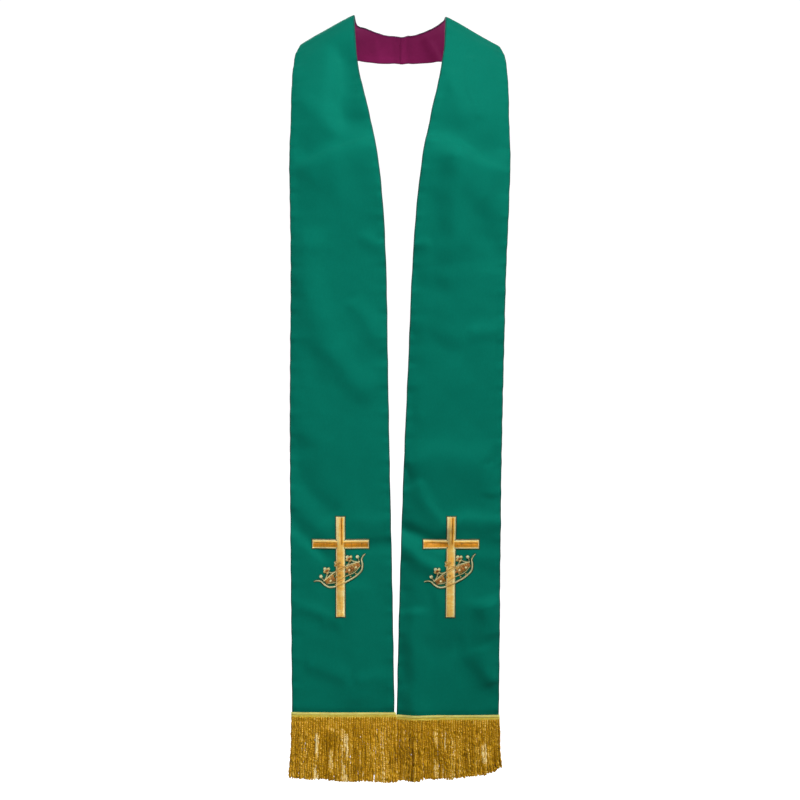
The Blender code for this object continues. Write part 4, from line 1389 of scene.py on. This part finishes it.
def dress_side(side):
    """Every piece of one half, each standing for its solids."""
    rng = np.random.default_rng(7 if side == "left" else 19)
    face = cloth_shell(f"green_face_{side}", side, LAYER_GAP, FACE_HEIGHT, 0, GREEN)
    reverse = cloth_shell(f"plum_reverse_{side}", side, -LAYER_GAP, -REVERSE_HEIGHT, REVERSE_INSET, PLUM)
    band = heading(side, rng)
    fringe = [twisted_cords(side, row, rng) for row in rows(CORD_ROWS, CORD_ROW_COLUMNS)]
    cross = embroidered_cross(side, rng)
    crown = embroidered_crown(side, rng)
    for piece, node, slot in (
        (face, f"face_{side}", "green_satin"),
        (reverse, f"reverse_{side}", "plum_satin"),
        (band, f"fringe_{side}", "gold_fringe"),
        (cross, f"cross_{side}", "gold_thread"),
    ):
        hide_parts(node)
    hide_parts(f"crown_{side}_inner", f"crown_{side}_outer")


def pale_floor():
    """A wide pale floor, where the wearer would stand, that glows brighter into the surround behind them."""
    bpy.ops.mesh.primitive_circle_add(vertices=64, radius=30, fill_type="NGON", location=(0, 0, FLOOR_LEVEL))
    floor = bpy.context.object
    floor.name = "floor"
    finish = Finish("pale floor", 0.8, Specular_IOR_Level=0.2)
    place = finish.place("Object")
    shade = finish.noise(place, 1.5)
    finish.set("Base Color", finish.mixed(shade, (0.73, 0.73, 0.73, 1), (0.77, 0.77, 0.77, 1)))
    finish.set("Emission Strength", finish.mapped(finish.part(place, "Y"), 0.3, 1.2, 0.0, 1.0))
    finish.set("Emission Color", (1, 1, 1, 1))
    floor.data.materials.append(finish.material)


# The surround's grey by how steeply it is looked at, from the horizon to straight up
SURROUND_STRENGTH = 2.0
SURROUND_GREYS = {0.0: 0.525, 0.24: 0.525, 0.42: 0.15, 0.7: 0.15, 1.0: 0.30}

# Soft lamps, from above, from behind and from under the neck band, in metres and watts
LAMP_COLUMNS = ("name", "place", "aim", "size", "watts", "spread")
LAMPS = (
    ("key", (1.1, -3.0, 2.9), (-0.2, -0.1, -0.46), (1.0, 1.0), 10.7, 31),
    ("back", (-0.4, 1.5, 0.6), (0, 0, -0.3), (0.8, 0.8), 14, 180),
    ("neck", (0, -0.01, -0.16), (0, 0.08, -0.03), (0.12, 0.06), 0.12, 180),
)


def place_object(name, data, location, turn):
    made = new_object(name, data)
    made.location = location
    made.rotation_euler = turn
    return made


def soft_light(name, place, aim, size, watts, spread):
    lamp = bpy.data.lights.new(name, "AREA")
    lamp.spread = math.radians(spread)
    lamp.shape = "RECTANGLE"
    lamp.size, lamp.size_y = size
    lamp.energy = watts
    turn = (Vector(aim) - Vector(place)).to_track_quat("-Z", "Y").to_euler()
    place_object(name, lamp, place, turn).visible_camera = False


def studio():
    """A surround that is white behind and dimmer in front, soft lamps, and the photograph's camera."""
    scene = bpy.context.scene
    scene.view_settings.view_transform = "Standard"
    scene.world = bpy.data.worlds.new("white surround")
    scene.world.use_nodes = True
    nodes = Nodes(scene.world.node_tree)
    direction = nodes.place("Generated")
    stops = [(share, (grey, grey, grey)) for share, grey in SURROUND_GREYS.items()]
    rising = nodes.ramp(nodes.part(direction, "Z"), stops)
    turned = nodes.mapped(nodes.part(direction, "Y"), -0.2, 0.6, 0.2, 1.0)
    background = nodes.tree.nodes["Background"]
    nodes.feed(background.inputs["Color"], rising)
    nodes.feed(background.inputs["Strength"], nodes.maths("MULTIPLY", turned, SURROUND_STRENGTH))
    for lamp in rows(LAMPS, LAMP_COLUMNS):
        soft_light(**lamp)
    camera = bpy.data.cameras.new("camera")
    camera.lens = CAMERA_LENS
    scene.camera = place_object("camera", camera, CAMERA_PLACE, (math.pi / 2, 0, 0))


for each_side in SIDES:
    dress_side(each_side)
pale_floor()
studio()
